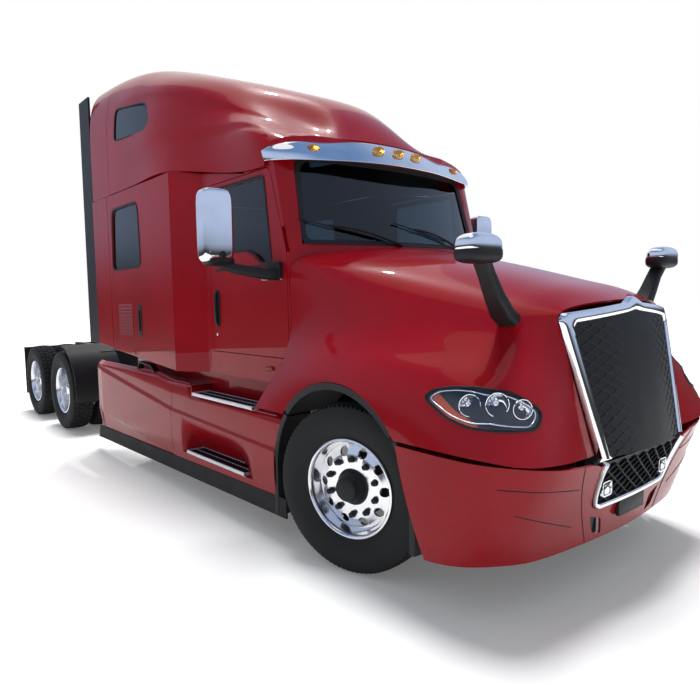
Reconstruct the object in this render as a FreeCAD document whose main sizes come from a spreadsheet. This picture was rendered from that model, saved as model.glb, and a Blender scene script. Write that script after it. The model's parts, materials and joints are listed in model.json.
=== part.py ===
"""Conventional 6x4 sleeper tractor unit, modelled as a parametric FreeCAD document.

Every coordinate is measured from the front axle: x to the truck's left, y to its rear, z up
from the ground.  Each sub-part's Placement then carries it into the frame of the whole part,
whose origin lies on the ground under the middle of the bounding box.
"""
import FreeCAD, Part
import math
import os
import re
import Sketcher
from FreeCAD import Placement, Rotation, Vector

# The driving dimensions, in millimetres and degrees: alias, value, what it is

SIZES = [
    ("front_axle_y", -3085, "front axle in the part's frame"),
    ("first_drive_y", 5452, "front axle to the first drive axle"),
    ("tandem_spacing", 1320, "between the two drive axles"),
    ("kingpin_x", 900, "steering kingpin from the middle"),
    ("rest_steer", 14, "front wheels as parked, turned to the truck's left"),
    ("tyre_radius", 510, "outer radius of a tyre"),
    ("tyre_width", 280, "section width of a tyre"),
    ("tyre_shoulder", 485, "radius at the shoulder"),
    ("tread_width", 230, "width of the tread"),
    ("rim_radius", 286, "bead seat radius of a wheel"),
    ("rim_wall", 16, "thickness of a wheel's barrel"),
    ("rim_width", 230, "flange to flange"),
    ("wheel_flats", 40, "flats round a tyre or a wheel"),
    ("front_rim_face_x", 1151, "outer flange of a front wheel from the middle"),
    ("drive_rim_face_x", 1198, "outer flange of a drive wheel from the middle"),
    ("dual_spacing", 336, "between the tyres of a twin wheel"),
    ("disc_thickness", 14, "disc of a wheel"),
    ("front_disc_depth", 62, "front wheel's disc behind its outer flange"),
    ("drive_disc_depth", 205, "drive wheel's disc behind its outer flange"),
    ("inner_disc_depth", 30, "inner drive wheel's disc behind its outer flange"),
    ("hand_hole_radius", 29, "hand holes of a wheel"),
    ("hand_hole_circle", 214, "circle of the hand holes"),
    ("spindle_end", 60, "spindle's end behind the outer flange"),
    ("hub_radius", 112, "front and drive hubs"),
    ("spindle_radius", 42, "axle spindles"),
    ("running_gap", 0.05, "radial clearance of pins and spindles"),
    ("seat_gap", 0.3, "gap where two pieces only rest"),
    ("rail_outer_x", 425, "outside of a frame rail from the middle"),
    ("rail_flange", 90, "width of a rail's flanges"),
    ("rail_wall", 10, "thickness of a rail"),
    ("rail_bottom_z", 720, "underside of the rails"),
    ("rail_height", 280, "height of the rails"),
    ("rail_front_y", -1040, "front end of the rails"),
    ("rail_rear_y", 7400, "rear end of the rails"),
    ("member_depth", 80, "crossmember along the truck"),
    ("member_height", 190, "crossmember's height"),
    ("engine_width", 640, "engine block between the rails"),
    ("engine_front_y", -640, "front of the engine"),
    ("engine_length", 1030, "length of the engine"),
    ("engine_bottom_z", 640, "sump"),
    ("engine_height", 790, "height of the engine"),
    ("gearbox_width", 460, "width of the gearbox"),
    ("gearbox_length", 1100, "length of the gearbox"),
    ("gearbox_height", 380, "height of the gearbox"),
    ("shaft_radius", 55, "drive shafts"),
    ("axle_tube_radius", 66, "drive axle tubes"),
    ("diff_radius", 205, "drive axle's banjo"),
    ("kingpin_radius", 24, "kingpins of the front axle"),
    ("beam_width", 110, "front axle beam along the truck"),
    ("spring_x", 380, "leaf springs from the middle"),
    ("spring_width", 86, "leaf springs"),
    ("spring_span", 1640, "eye to eye"),
    ("air_spring_radius", 118, "air springs of the drive axles"),
    ("tank_x", 735, "fuel tank's axis from the middle"),
    ("tank_z", 600, "fuel tank's axis above the ground"),
    ("tank_radius", 286, "fuel tank"),
    ("tank_front_y", 960, "front of the fuel tank"),
    ("tank_length", 2350, "fuel tank"),
    ("side_x", 1200, "side skin of sleeper and fairings from the middle"),
    ("fairing_depth", 160, "moulded step fairing across the truck"),
    ("panel_depth", 45, "flat fairing panels and body walls"),
    ("fairing_front_y", 616, "front lip of the side fairing"),
    ("fairing_seam_y", 2190, "seam between the fairing's two panels"),
    ("fairing_rear_y", 4105, "rear edge of the side fairing"),
    ("fairing_bottom_z", 300, "lower edge of the side fairing"),
    ("fairing_top_z", 955, "upper edge of the side fairing"),
    ("seam", 6, "seams between panels"),
    ("step_high_z", 890, "top of the upper step"),
    ("step_low_z", 390, "top of the lower step"),
    ("step_front_y", 850, "front end of the upper step"),
    ("step_length", 920, "steps along the truck"),
    ("step_width", 150, "steps across the truck"),
    ("step_height", 26, "steps"),
    ("step_shift", 130, "lower step behind the upper one"),
    ("skirt_bottom_z", 150, "lower edge of the rubber skirt"),
    ("skirt_wall", 12, "rubber skirt"),
    ("cab_x", 1030, "side of the cab from the middle"),
    ("cab_bottom_z", 1040, "cab's underside"),
    ("cab_front_y", 625, "cab's front corners"),
    ("cab_nose_y", 430, "cowl at the middle"),
    ("belt_z", 1945, "foot of the windscreen at the cab's corners"),
    ("header_z", 2780, "top of the cab under the roof fairing"),
    ("header_front_y", 820, "header's corners"),
    ("header_nose_y", 690, "header at the middle"),
    ("floor_height", 60, "floors of cab and sleeper"),
    ("door_front_y", 645, "front edge of a door"),
    ("door_rear_y", 1690, "rear edge of a door"),
    ("door_bottom_z", 1225, "lower edge of a door"),
    ("door_top_z", 2535, "upper edge of a door"),
    ("pillar_top_y", 815, "door's upper front corner"),
    ("glass_thickness", 8, "window glass"),
    ("window_edge", 14, "how far glass reaches into its frame"),
    ("door_gap", 6, "gap round a door"),
    ("door_pin_radius", 7, "pivot pins of a door"),
    ("door_pin_inset", 13, "pivot pins behind the door's skin"),
    ("door_pin_height", 40, "pivot pins of a door"),
    ("sleeper_flare_y", 1780, "where the side starts to widen"),
    ("sleeper_front_y", 2040, "where the side has its full width"),
    ("sleeper_rear_y", 3500, "rear wall of the sleeper"),
    ("sleeper_bottom_z", 1090, "underside of the sleeper"),
    ("roof_seam_z", 2700, "seam between sleeper and roof fairing"),
    ("roof_wall", 22, "roof fairing skin"),
    ("roof_rear_y", 3900, "rear lip of the roof fairing"),
    ("extender_rear_y", 3930, "rear edge of the painted side extender"),
    ("extender_wall", 30, "side extenders"),
    ("edge_rear_y", 4235, "rear edge of the black extender"),
    ("extender_bottom_z", 1190, "side extenders' lower edge"),
    ("extender_top_z", 3800, "side extenders' upper edge"),
    ("hood_wall", 12, "hood skin"),
    ("hood_gap", 6, "gap between hood and cab"),
    ("hood_hinge_y", -1100, "hood's hinge pins"),
    ("hood_hinge_z", 500, "hood's hinge pins"),
    ("hood_neck_radius", 345, "gooseneck arms of the hood's hinge"),
    ("hinge_pin_radius", 14, "hood's hinge pins"),
    ("arch_radius", 630, "lip of the front wheel arch"),
    ("liner_wall", 14, "inner fender"),
    ("liner_inner_x", 640, "inner end of the inner fender"),
    ("grille_top_z", 1560, "upper edge of the grille at the middle"),
    ("grille_bottom_z", 800, "lower edge of the grille"),
    ("grille_top_x", 590, "grille surround's upper corners"),
    ("grille_bottom_x", 473, "grille surround's lower corners"),
    ("surround_width", 52, "chrome band round the grille"),
    ("surround_depth", 44, "chrome band round the grille"),
    ("grille_depth", 16, "grille panel"),
    ("bumper_wall", 12, "bumper skin"),
    ("bumper_bottom_z", 307, "lower edge of the bumper"),
    ("fog_radius", 46, "fog lamps"),
    ("mirror_x", 1425, "door mirror's middle"),
    ("mirror_y", 900, "door mirror's middle"),
    ("mirror_bottom_z", 1880, "door mirror's lower end"),
    ("mirror_height", 500, "door mirror"),
    ("mirror_width", 230, "door mirror across the truck"),
    ("mirror_depth", 130, "door mirror along the truck"),
    ("fender_radius", 585, "quarter fender round the first drive wheels"),
    ("fender_wall", 12, "quarter fenders"),
    ("fender_inner_x", 600, "quarter fender's inner edge"),
    ("flap_wall", 12, "mud flaps"),
    ("coupling_z", 1200, "top of the fifth wheel"),
    ("coupling_y", 6000, "kingpin hole of the fifth wheel"),
    ("coupling_plate", 40, "fifth wheel's plate"),
    ("coupling_width", 900, "fifth wheel's plate"),
    ("kingpin_hole_radius", 25.7, "kingpin hole for a 50.8 mm kingpin"),
]

doc = FreeCAD.newDocument("tractor_unit")
sheet = doc.addObject("Spreadsheet::Sheet", "Sizes")
for row, (alias, value, meaning) in enumerate(SIZES, start=1):
    sheet.set(f"A{row}", meaning)
    sheet.set(f"B{row}", str(value))
    sheet.setAlias(f"B{row}", alias)
doc.recompute()

ALIASES = {row[0] for row in SIZES}
PARTS = []


def size(alias):
    """Value of one cell of the sheet."""
    return float(sheet.get(alias))


def cells(expression):
    """An expression in aliases, with each alias pointed at the sheet."""
    return re.sub(r"[a-z][a-z_]+", lambda word: "Sizes." * (word[0] in ALIASES) + word[0], expression)


def bind(obj, **expressions):
    """Tie properties to the sheet; a double underscore stands for a dot."""
    for key, expression in expressions.items():
        obj.setExpression(key.replace("__", "."), cells(str(expression)))
    return obj


def box(name, x, y, z):
    """Box between pairs of expressions (low, high) along each axis."""
    obj = doc.addObject("Part::Box", name)
    return bind(obj, Length=f"( {x[1]} ) - ( {x[0]} )", Width=f"( {y[1]} ) - ( {y[0]} )",
                Height=f"( {z[1]} ) - ( {z[0]} )", Placement__Base__x=x[0],
                Placement__Base__y=y[0], Placement__Base__z=z[0])


TURNS = {"x": Rotation(Vector(0, 1, 0), 90), "y": Rotation(Vector(1, 0, 0), -90), "z": Rotation()}


def cylinder(name, axis, radius, length, at):
    """Cylinder from a point given as three expressions, along +axis."""
    obj = doc.addObject("Part::Cylinder", name)
    obj.Placement = Placement(Vector(), TURNS[axis])
    return bind(obj, Radius=radius, Height=length, Placement__Base__x=at[0],
                Placement__Base__y=at[1], Placement__Base__z=at[2])


def fuse(name, *shapes):
    """Union of several objects."""
    obj = doc.addObject("Part::MultiFuse", name)
    obj.Shapes = list(shapes)
    return obj


def cut(name, base, *tools):
    """Base with every tool taken away."""
    obj = doc.addObject("Part::Cut", name)
    obj.Base = base
    obj.Tool = tools[0] if len(tools) == 1 else fuse(name + "_tools", *tools)
    return obj


def common(name, one, other):
    """Intersection of two objects."""
    obj = doc.addObject("Part::Common", name)
    obj.Base = one
    obj.Tool = other
    return obj


def mirrored(name, source):
    """The same shape on the truck's right."""
    obj = doc.addObject("Part::Mirroring", name)
    obj.Source = source
    obj.Normal = Vector(1, 0, 0)
    return obj


def both_sides(name, source):
    """Left and right copies as one object."""
    obj = doc.addObject("Part::Compound", name)
    obj.Links = [source, mirrored(name + "_mirror", source)]
    return obj


PLANES = {"XY": ("XY_Plane", 1), "XZ": ("XZ_Plane", -1), "YZ": ("YZ_Plane", 1)}


def outline_sketch(body, name, plane, points, centre):
    """Closed outline whose corners are pairs of expressions, on one of the body's planes."""
    role, sign = PLANES[plane]
    sketch = body.newObject("Sketcher::SketchObject", name)
    support = next(f for f in body.Origin.OriginFeatures if f.Role == role)
    sketch.AttachmentSupport = [(support, "")]
    sketch.MapMode = "FlatFace"
    sketch.setExpression("AttachmentOffset.Base.z", cells(f"{sign} * ( {centre} )"))
    start = [Vector(*[value_of(e) for e in pair], 0) for pair in points]
    count = len(points)
    for i in range(count):
        sketch.addGeometry(Part.LineSegment(start[i], start[(i + 1) % count]), False)
    for i in range(count):
        sketch.addConstraint(Sketcher.Constraint("Coincident", i, 2, (i + 1) % count, 1))
    for i, pair in enumerate(points):
        for kind, expression, value in zip(("DistanceX", "DistanceY"), pair, start[i]):
            index = sketch.addConstraint(Sketcher.Constraint(kind, i, 1, value))
            sketch.setExpression(f"Constraints[{index}]", cells(str(expression)))
    return sketch


def value_of(expression):
    """Number that an expression in aliases has now."""
    return float(sheet.evalExpression(cells(str(expression)).replace("Sizes.", "")))


def prism(name, plane, points, centre, length):
    """Padded outline, centred on an expression along the plane's normal."""
    body = doc.addObject("PartDesign::Body", name)
    sketch = outline_sketch(body, name + "_outline", plane, points, centre)
    pad = body.newObject("PartDesign::Pad", name + "_pad")
    pad.Profile = sketch
    pad.SideType = "Symmetric"
    pad.setExpression("Length", cells(str(length)))
    return body


def part(label, obj, x="0", y="0", z="0", turn=None):
    """Name a finished sub-part and carry it into the part's frame."""
    if obj.TypeId in ("Part::Box", "Part::Cylinder"):
        primitive = obj
        obj = doc.addObject("Part::Compound", label + "_piece")
        obj.Links = [primitive]
    obj.Label = label
    if turn is not None:
        obj.Placement = Placement(Vector(), Rotation(Vector(0, 0, 1), 1))
        obj.setExpression("Placement.Rotation.Angle", cells(turn))
    bind(obj, Placement__Base__x=x, Placement__Base__y=f"front_axle_y + {y}", Placement__Base__z=z)
    PARTS.append(obj)
    return obj


def feature(name, shape):
    """Object for a shape that Part's own functions made from the sheet's sizes."""
    obj = doc.addObject("Part::Feature", name)
    obj.Shape = shape
    return obj


def strut(start, end, radius):
    """Round bar between two points."""
    run = Vector(*end) - Vector(*start)
    return Part.makeCylinder(radius, run.Length, Vector(*start), run)


def mirror_rows(rows):
    """Rows of points from the middle outwards, continued to the truck's right."""
    return [[(-x, y, z) for x, y, z in row] for row in rows[:0:-1]] + rows


def clamped_knots(count):
    """Knots and multiplicities of a clamped cubic with `count` poles, and the poles' own parameters."""
    spans = count - 3
    multiplicities = [4] + [1] * (spans - 1) + [4]
    flat = [0] * 4 + list(range(1, spans)) + [spans] * 4
    return list(range(spans + 1)), multiplicities, [sum(flat[i + 1:i + 4]) / 3 for i in range(count)]


def smooth_surface(rows):
    """Cubic spline surface drawn on to a net of points, without the overshoot of an exact fit."""
    target = [[Vector(*p) for p in row] for row in rows]
    (u_knots, u_counts, u_at), (v_knots, v_counts, v_at) = clamped_knots(len(rows)), clamped_knots(len(rows[0]))
    poles = [list(row) for row in target]
    surface = Part.BSplineSurface()
    for step in range(4):
        if step:
            poles = [[pole + target[i][j] - surface.value(u_at[i], v_at[j]) for j, pole in enumerate(row)]
                     for i, row in enumerate(poles)]
        surface.buildFromPolesMultsKnots(poles, u_counts, v_counts, u_knots, v_knots, False, False, 3, 3)
    return surface


def offset_rows(rows, distance):
    """The net moved along its own normals."""
    net = [[Vector(*p) for p in row] for row in rows]
    last_row, last_column = len(net) - 1, len(net[0]) - 1
    moved = []
    for i, row in enumerate(net):
        moved.append([])
        for j, point in enumerate(row):
            across = net[min(i + 1, last_row)][j] - net[max(i - 1, 0)][j]
            along = row[min(j + 1, last_column)] - row[max(j - 1, 0)]
            normal = across.cross(along).normalize()
            moved[-1].append(tuple(point + normal * distance))
    return moved


def skin(rows, outer, inner):
    """Solid between two offsets of a net of points; outwards is positive."""
    faces = [smooth_surface(offset_rows(rows, d)).toShape() for d in (outer, inner)]
    sides = [Part.makeRuledSurface(a, b) for a, b in zip(faces[0].Edges, faces[1].Edges)]
    sewn = Part.makeCompound(faces + sides)
    sewn.sewShape(0.01)
    return Part.makeSolid(sewn.Shells[0])


def plate(points, normal, thickness):
    """Flat solid from a closed list of corners."""
    face = Part.Face(Part.makePolygon([Vector(*p) for p in points + points[:1]]))
    return face.extrude(Vector(*normal) * thickness)


def polygon_loft(name, stations):
    """Solid along x through regular polygons: (x, radius over the flats) as expressions."""
    sections = []
    for index, (x, radius) in enumerate(stations):
        polygon = doc.addObject("Part::RegularPolygon", f"{name}_section{index}")
        half = 180 / size("wheel_flats")
        polygon.Placement = Placement(Vector(), TURNS["x"] * Rotation(Vector(0, 0, 1), half))
        bind(polygon, Polygon="wheel_flats", Circumradius=f"( {radius} ) / cos( 180 deg / wheel_flats )",
             Placement__Base__x=x)
        sections.append(polygon)
    loft = doc.addObject("Part::Loft", name)
    loft.Sections = sections
    loft.Solid = True
    loft.Ruled = True
    return loft


# Bumper: cross-sections from the middle to the side, from the lower edge up

bumper_half = [
    [(0, -1129, 307), (0, -1150, 420), (0, -1185, 600), (0, -1262, 786)],
    [(255, -1121, 307), (260, -1143, 420), (262, -1180, 600), (265, -1258, 786)],
    [(607, -1090, 307), (615, -1118, 420), (618, -1160, 600), (625, -1240, 790)],
    [(841, -1046, 307), (860, -1080, 420), (868, -1130, 600), (880, -1195, 812)],
    [(967, -982, 307), (1000, -1015, 420), (1012, -1070, 600), (1030, -1118, 832)],
    [(1086, -896, 307), (1125, -915, 420), (1145, -960, 600), (1150, -1000, 850)],
    [(1169, -777, 307), (1195, -770, 420), (1212, -770, 600), (1212, -800, 862)],
    [(1190, -691, 307), (1205, -655, 420), (1215, -590, 600), (1215, -520, 868)],
]

# Chassis: rails, crossmembers and hood hinge lugs

RAIL_TOP = "( rail_bottom_z + rail_height )"


def channel(low, high, toward, depth):
    """Corners of a C section: web at `low`, flanges reaching to `toward`."""
    return [(low, depth[0]), (toward, depth[0]), (toward, f"{depth[0]} + rail_wall"),
            (high, f"{depth[0]} + rail_wall"), (high, f"{depth[1]} - rail_wall"),
            (toward, f"{depth[1]} - rail_wall"), (toward, depth[1]), (low, depth[1])]


rail = prism("rail", "XZ", channel("rail_outer_x", "rail_outer_x - rail_wall", "rail_outer_x - rail_flange",
                                   ("rail_bottom_z", RAIL_TOP)),
             "( rail_front_y + rail_rear_y ) / 2", "rail_rear_y - rail_front_y")
MEMBERS_Y = ["rail_front_y + 60", "tank_front_y + 1000", "tank_front_y + tank_length + 100",
             "first_drive_y - 700", "first_drive_y + tandem_spacing / 2", "rail_rear_y - member_depth"]
member_depth = ("rail_bottom_z + rail_height - rail_wall - member_height", f"{RAIL_TOP} - rail_wall")
members = []
for number, member_y in enumerate(MEMBERS_Y):
    web, sign = (member_y, "+") if number < len(MEMBERS_Y) - 1 else ("rail_rear_y", "-")
    members.append(prism(f"member{number}", "YZ",
                         channel(web, f"{web} {sign} rail_wall", f"{web} {sign} member_depth", member_depth),
                         "0", "2 * (rail_outer_x - rail_wall)"))
lug_x = ("rail_outer_x", "rail_outer_x + 30")
lug = fuse("hood_lug_plain", box("hood_lug_arm", lug_x, ("hood_hinge_y - 20", "rail_front_y + 100"),
                                 ("hood_hinge_z - 26", "hood_hinge_z + 26")),
           box("hood_lug_foot", lug_x, ("rail_front_y + 40", "rail_front_y + 160"),
               ("hood_hinge_z - 26", "rail_bottom_z + 120")),
           cylinder("hood_lug_eye", "x", "hinge_pin_radius + 16", "30",
                    ("rail_outer_x", "hood_hinge_y", "hood_hinge_z")))
lug = cut("hood_lug", lug, cylinder("hood_lug_bore", "x", "hinge_pin_radius + running_gap", "60",
                                    ("rail_outer_x - 15", "hood_hinge_y", "hood_hinge_z")))
bumper_carrier = box("bumper_carrier", ("rail_outer_x - rail_flange", "rail_outer_x"), ("-1250", "rail_front_y"),
                     ("380", "480"))
bumper_post = box("bumper_post", ("rail_outer_x - rail_flange", "rail_outer_x"),
                  ("rail_front_y - 30", "rail_front_y + 1"), ("380", RAIL_TOP))
bumper_room = feature("bumper_room", skin(mirror_rows(bumper_half), 150, -size("bumper_wall") - size("seat_gap")))
bracket = cut("bumper_bracket", fuse("bumper_bracket_whole", bumper_carrier, bumper_post), bumper_room)
deck = box("deck", ("-rail_outer_x", "rail_outer_x"), ("edge_rear_y + 60", "edge_rear_y + 660"),
           (f"{RAIL_TOP} - 1", f"{RAIL_TOP} + 8"))
mount_x = ("rail_outer_x - rail_flange", "rail_outer_x")
cab_mount = box("cab_mount", mount_x, ("cab_front_y + 120", "cab_front_y + 220"),
                (f"{RAIL_TOP} - 1", "cab_bottom_z - seat_gap"))
rear_mount_y = "sleeper_rear_y - 200"
underside = ("cab_bottom_z + (sleeper_bottom_z + 60 - cab_bottom_z) * (sleeper_rear_y - 200 - sleeper_front_y - seam)"
             " / (sleeper_rear_y - sleeper_front_y - seam)")
sleeper_mount = box("sleeper_mount", mount_x, (rear_mount_y, f"{rear_mount_y} + 100"),
                    (f"{RAIL_TOP} - 1", f"{underside} - seat_gap"))
part("frame", fuse("frame_whole", cab_mount, mirrored("cab_mount_mirror", cab_mount), sleeper_mount,
                   mirrored("sleeper_mount_mirror", sleeper_mount), rail, mirrored("rail_mirror", rail), *members, lug, mirrored("hood_lug_mirror", lug),
                   bracket, mirrored("bumper_bracket_mirror", bracket), deck))

# Engine, gearbox and radiator, one plain block each

engine = box("engine_block", ("- engine_width / 2", "engine_width / 2"),
             ("engine_front_y", "engine_front_y + engine_length"),
             ("engine_bottom_z", "engine_bottom_z + engine_height"))
gearbox = box("gearbox_block", ("- gearbox_width / 2", "gearbox_width / 2"),
              ("engine_front_y + engine_length", "engine_front_y + engine_length + gearbox_length"),
              ("engine_bottom_z", "engine_bottom_z + gearbox_height"))
radiator = fuse("radiator", box("radiator_core", ("- rail_outer_x - 40", "rail_outer_x + 40"),
                                ("rail_front_y + 160", "rail_front_y + 280"), (f"{RAIL_TOP}", "1480")),
                box("radiator_tank", ("- engine_width / 2", "engine_width / 2"),
                    ("rail_front_y + 160", "rail_front_y + 280"), ("rail_bottom_z - 60", RAIL_TOP)))
part("engine", fuse("engine_whole", engine, gearbox))
part("radiator", radiator)

# Front axle: dropped beam, kingpins and leaf springs

BEAM = [("kingpin_x", "tyre_radius - 55"), ("kingpin_x", "tyre_radius + 55"),
        ("kingpin_x - 60", "tyre_radius + 55"), ("kingpin_x - 250", "tyre_radius - 75"),
        ("250 - kingpin_x", "tyre_radius - 75"), ("60 - kingpin_x", "tyre_radius + 55"),
        ("-kingpin_x", "tyre_radius + 55"), ("-kingpin_x", "tyre_radius - 55"),
        ("80 - kingpin_x", "tyre_radius - 55"), ("240 - kingpin_x", "tyre_radius - 180"),
        ("kingpin_x - 240", "tyre_radius - 180"), ("kingpin_x - 80", "tyre_radius - 55")]
beam = prism("beam", "XZ", BEAM, "0", "beam_width")
kingpin = fuse("kingpin", cylinder("kingpin_bar", "z", "kingpin_radius", "310", ("kingpin_x", "0", "tyre_radius - 155")),
               cylinder("kingpin_boss", "z", "52", "110", ("kingpin_x", "0", "tyre_radius - 55")))
LEAF = [("- spring_span / 2", "rail_bottom_z"), ("- spring_span / 2 - 60", "rail_bottom_z"),
        ("- spring_span / 2 - 30", "rail_bottom_z - 95"), ("- spring_span / 4", "tyre_radius - 10"),
        ("-130", "tyre_radius - 75"), ("130", "tyre_radius - 75"), ("spring_span / 4", "tyre_radius - 10"),
        ("spring_span / 2 + 30", "rail_bottom_z - 95"), ("spring_span / 2 + 60", "rail_bottom_z"),
        ("spring_span / 2", "rail_bottom_z"), ("spring_span / 2 - 20", "rail_bottom_z - 70"),
        ("spring_span / 4", "tyre_radius + 40"), ("0", "tyre_radius - 15"),
        ("- spring_span / 4", "tyre_radius + 40"), ("20 - spring_span / 2", "rail_bottom_z - 70")]
spring = prism("spring", "YZ", LEAF, "spring_x", "spring_width")
part("front_axle", fuse("front_axle_whole", beam, kingpin, mirrored("kingpin_mirror", kingpin), spring,
                        mirrored("spring_mirror", spring)))

# Drive axles with their suspension and shafts


def drive_axle(name, axle_y):
    """Banjo housing with spindles, trailing beams, air springs and hangers."""
    body = doc.addObject("PartDesign::Body", name + "_housing")
    profile = [("drive_rim_face_x - spindle_end", "0"), ("drive_rim_face_x - spindle_end", "spindle_radius"),
               ("drive_rim_face_x - 600", "spindle_radius"), ("drive_rim_face_x - 600", "axle_tube_radius"),
               ("diff_radius + 90", "axle_tube_radius"), ("diff_radius / 2", "diff_radius"),
               ("- diff_radius / 2", "diff_radius"), ("- diff_radius - 90", "axle_tube_radius"),
               ("600 - drive_rim_face_x", "axle_tube_radius"), ("600 - drive_rim_face_x", "spindle_radius"),
               ("spindle_end - drive_rim_face_x", "spindle_radius"), ("spindle_end - drive_rim_face_x", "0")]
    sketch = outline_sketch(body, name + "_profile", "XY", profile, "0")
    turned = body.newObject("PartDesign::Revolution", name + "_turned")
    turned.Profile = sketch
    turned.ReferenceAxis = (sketch, ["H_Axis"])
    turned.Angle = 360
    bind(body, Placement__Base__y=axle_y, Placement__Base__z="tyre_radius")
    low = "tyre_radius - axle_tube_radius"
    bar = box(name + "_beam", ("spring_x - spring_width / 2", "spring_x + spring_width / 2"),
              (f"{axle_y} - 430", f"{axle_y} + 430"), (f"{low} - 70", f"{low} + 12"))
    hanger = box(name + "_hanger", ("spring_x - spring_width / 2", "spring_x + spring_width / 2"),
                 (f"{axle_y} - 430", f"{axle_y} - 330"), (f"{low} - 10", "rail_bottom_z"))
    bag = cylinder(name + "_bag", "z", "air_spring_radius", f"rail_bottom_z - ( {low} )",
                   ("spring_x", f"{axle_y} + 300", low))
    side = [bar, hanger, bag]
    return [body] + side + [mirrored(s.Name + "_mirror", s) for s in side]


housings = drive_axle("first_axle", "first_drive_y") + drive_axle("second_axle",
                                                                  "first_drive_y + tandem_spacing")
axle_z = size("tyre_radius")
gearbox_end = size("engine_front_y") + size("engine_length") + size("gearbox_length")
shaft_start = (0, gearbox_end, size("engine_bottom_z") + 120)
gearbox_room = Part.makeBox(400, 400, 400, Vector(-200, gearbox_end + size("seat_gap") - 400, 500))
first_y = size("first_drive_y")
second_y = first_y + size("tandem_spacing")
diff_reach = size("diff_radius") - 25
shafts = [feature("long_shaft", strut(shaft_start, (0, first_y - diff_reach, axle_z),
                                      size("shaft_radius")).cut(gearbox_room)),
          feature("short_shaft", strut((0, first_y + diff_reach, axle_z), (0, second_y - diff_reach, axle_z),
                                       size("shaft_radius")))]
part("drive_axles", fuse("drive_axles_whole", *housings, *shafts))

# Fuel tanks on their brackets

tank = cylinder("tank", "y", "tank_radius", "tank_length", ("tank_x", "tank_front_y", "tank_z"))
tank_pieces = [tank]
for number in range(3):
    bracket_y = f"tank_front_y + tank_length * ( 0.15 + 0.35 * {number} )"
    tank_pieces.append(box(f"tank_bracket{number}", ("rail_outer_x", "tank_x - tank_radius / 2"),
                           (bracket_y, f"{bracket_y} + 70"), ("tank_z - tank_radius + 40", f"{RAIL_TOP} - 20")))
    tank_pieces.append(box(f"fairing_bracket{number}", ("tank_x + tank_radius / 2", "side_x - panel_depth"),
                           (bracket_y, f"{bracket_y} + 70"), ("tank_z + 150", "tank_z + 200")))
tank_side = fuse("tank_whole", *tank_pieces)
part("fuel_tanks", both_sides("tanks", tank_side))

# Side fairings: a moulded front panel with two step pockets and a flat rear one

FRONT_PANEL = [("fairing_front_y", "fairing_bottom_z + 12"), ("fairing_front_y", "650"),
               ("fairing_front_y - 30", "770"), ("fairing_front_y - 75", "step_high_z - step_height - 4"),
               ("fairing_seam_y - 330", "step_high_z - step_height"),
               ("fairing_seam_y - 250", "fairing_top_z - 15"), ("fairing_seam_y", "fairing_top_z - 12"),
               ("fairing_seam_y", "fairing_bottom_z - 15")]
REAR_PANEL = [("fairing_seam_y + seam", "fairing_bottom_z - 15"), ("fairing_seam_y + seam", "fairing_top_z - 12"),
              ("fairing_seam_y + 420", "fairing_top_z + 31"), ("fairing_rear_y", "fairing_top_z + 40"),
              ("fairing_rear_y - 18", "fairing_bottom_z - 40")]
front_panel = prism("front_panel", "YZ", FRONT_PANEL, "side_x - fairing_depth / 2", "fairing_depth")
POCKET = [("side_x + 1", "step_low_z - step_height"), ("side_x - step_width", "step_low_z - step_height"),
          ("side_x - step_width", "step_low_z + 40"), ("side_x - 40", "step_low_z + 190"),
          ("side_x + 1", "step_low_z + 230")]
pocket = prism("step_pocket", "XZ", POCKET, "step_front_y + step_shift + step_length / 2", "step_length + 20")
tank_room = cylinder("tank_room", "y", "tank_radius + 12", "tank_length + 24",
                     ("tank_x", "tank_front_y - 12", "tank_z"))
hollow = box("fairing_hollow", ("side_x - fairing_depth - 1", "side_x - panel_depth"),
             ("fairing_front_y + 80", "fairing_seam_y + 1"), ("step_low_z + 240", "step_high_z - step_height - 40"))
front_panel = cut("front_panel_cut", front_panel, pocket, tank_room, hollow)
rear_panel = prism("rear_panel", "YZ", REAR_PANEL, "side_x - panel_depth / 2", "panel_depth")
side_fairing = doc.addObject("Part::Compound", "side_fairing")
side_fairing.Links = [front_panel, rear_panel]
part("fairings", both_sides("side_fairings", side_fairing))

# Step treads with open slots


def step_tread(name, front, top):
    """Tread plate with a row of drain slots."""
    low_x = "side_x - step_width"
    whole = box(name, (low_x, "side_x + 8"), (front, f"{front} + step_length"), (f"{top} - step_height", top))
    slots = []
    for number in range(8):
        slot_y = f"{front} + 40 + {number} * ( step_length - 80 ) / 8"
        slots.append(box(f"{name}_slot{number}", (f"{low_x} + 18", "side_x - 12"),
                         (slot_y, f"{slot_y} + 70"), (f"{top} - step_height - 1", f"{top} + 1")))
    return cut(name + "_cut", whole, *slots)


treads = doc.addObject("Part::Compound", "treads")
treads.Links = [step_tread("step_high", "step_front_y", "step_high_z"),
                step_tread("step_low", "step_front_y + step_shift", "step_low_z")]
part("steps", both_sides("steps_both", treads))

# Rubber skirt under the fairings

SKIRT = [("fairing_front_y - 110", "skirt_bottom_z + 28"), ("fairing_front_y - 110", "fairing_bottom_z + 10"),
         ("fairing_front_y - 1", "fairing_bottom_z + 12"), ("fairing_seam_y", "fairing_bottom_z - 15"),
         ("fairing_rear_y - 18", "fairing_bottom_z - 40"), ("fairing_rear_y + 40", "skirt_bottom_z - 25")]
skirt = prism("skirt", "YZ", SKIRT, "side_x - 20", "skirt_wall")
part("skirts", both_sides("skirts_both", skirt))

# Wheels: tyre and rims are lofts through regular polygons, made once with the outer flange at x = 0


def moved(name, source, x="0"):
    """A copy of an object that follows it, moved along x."""
    obj = doc.addObject("Part::Compound", name)
    obj.Links = [source]
    return bind(obj, Placement__Base__x=x)


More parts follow.
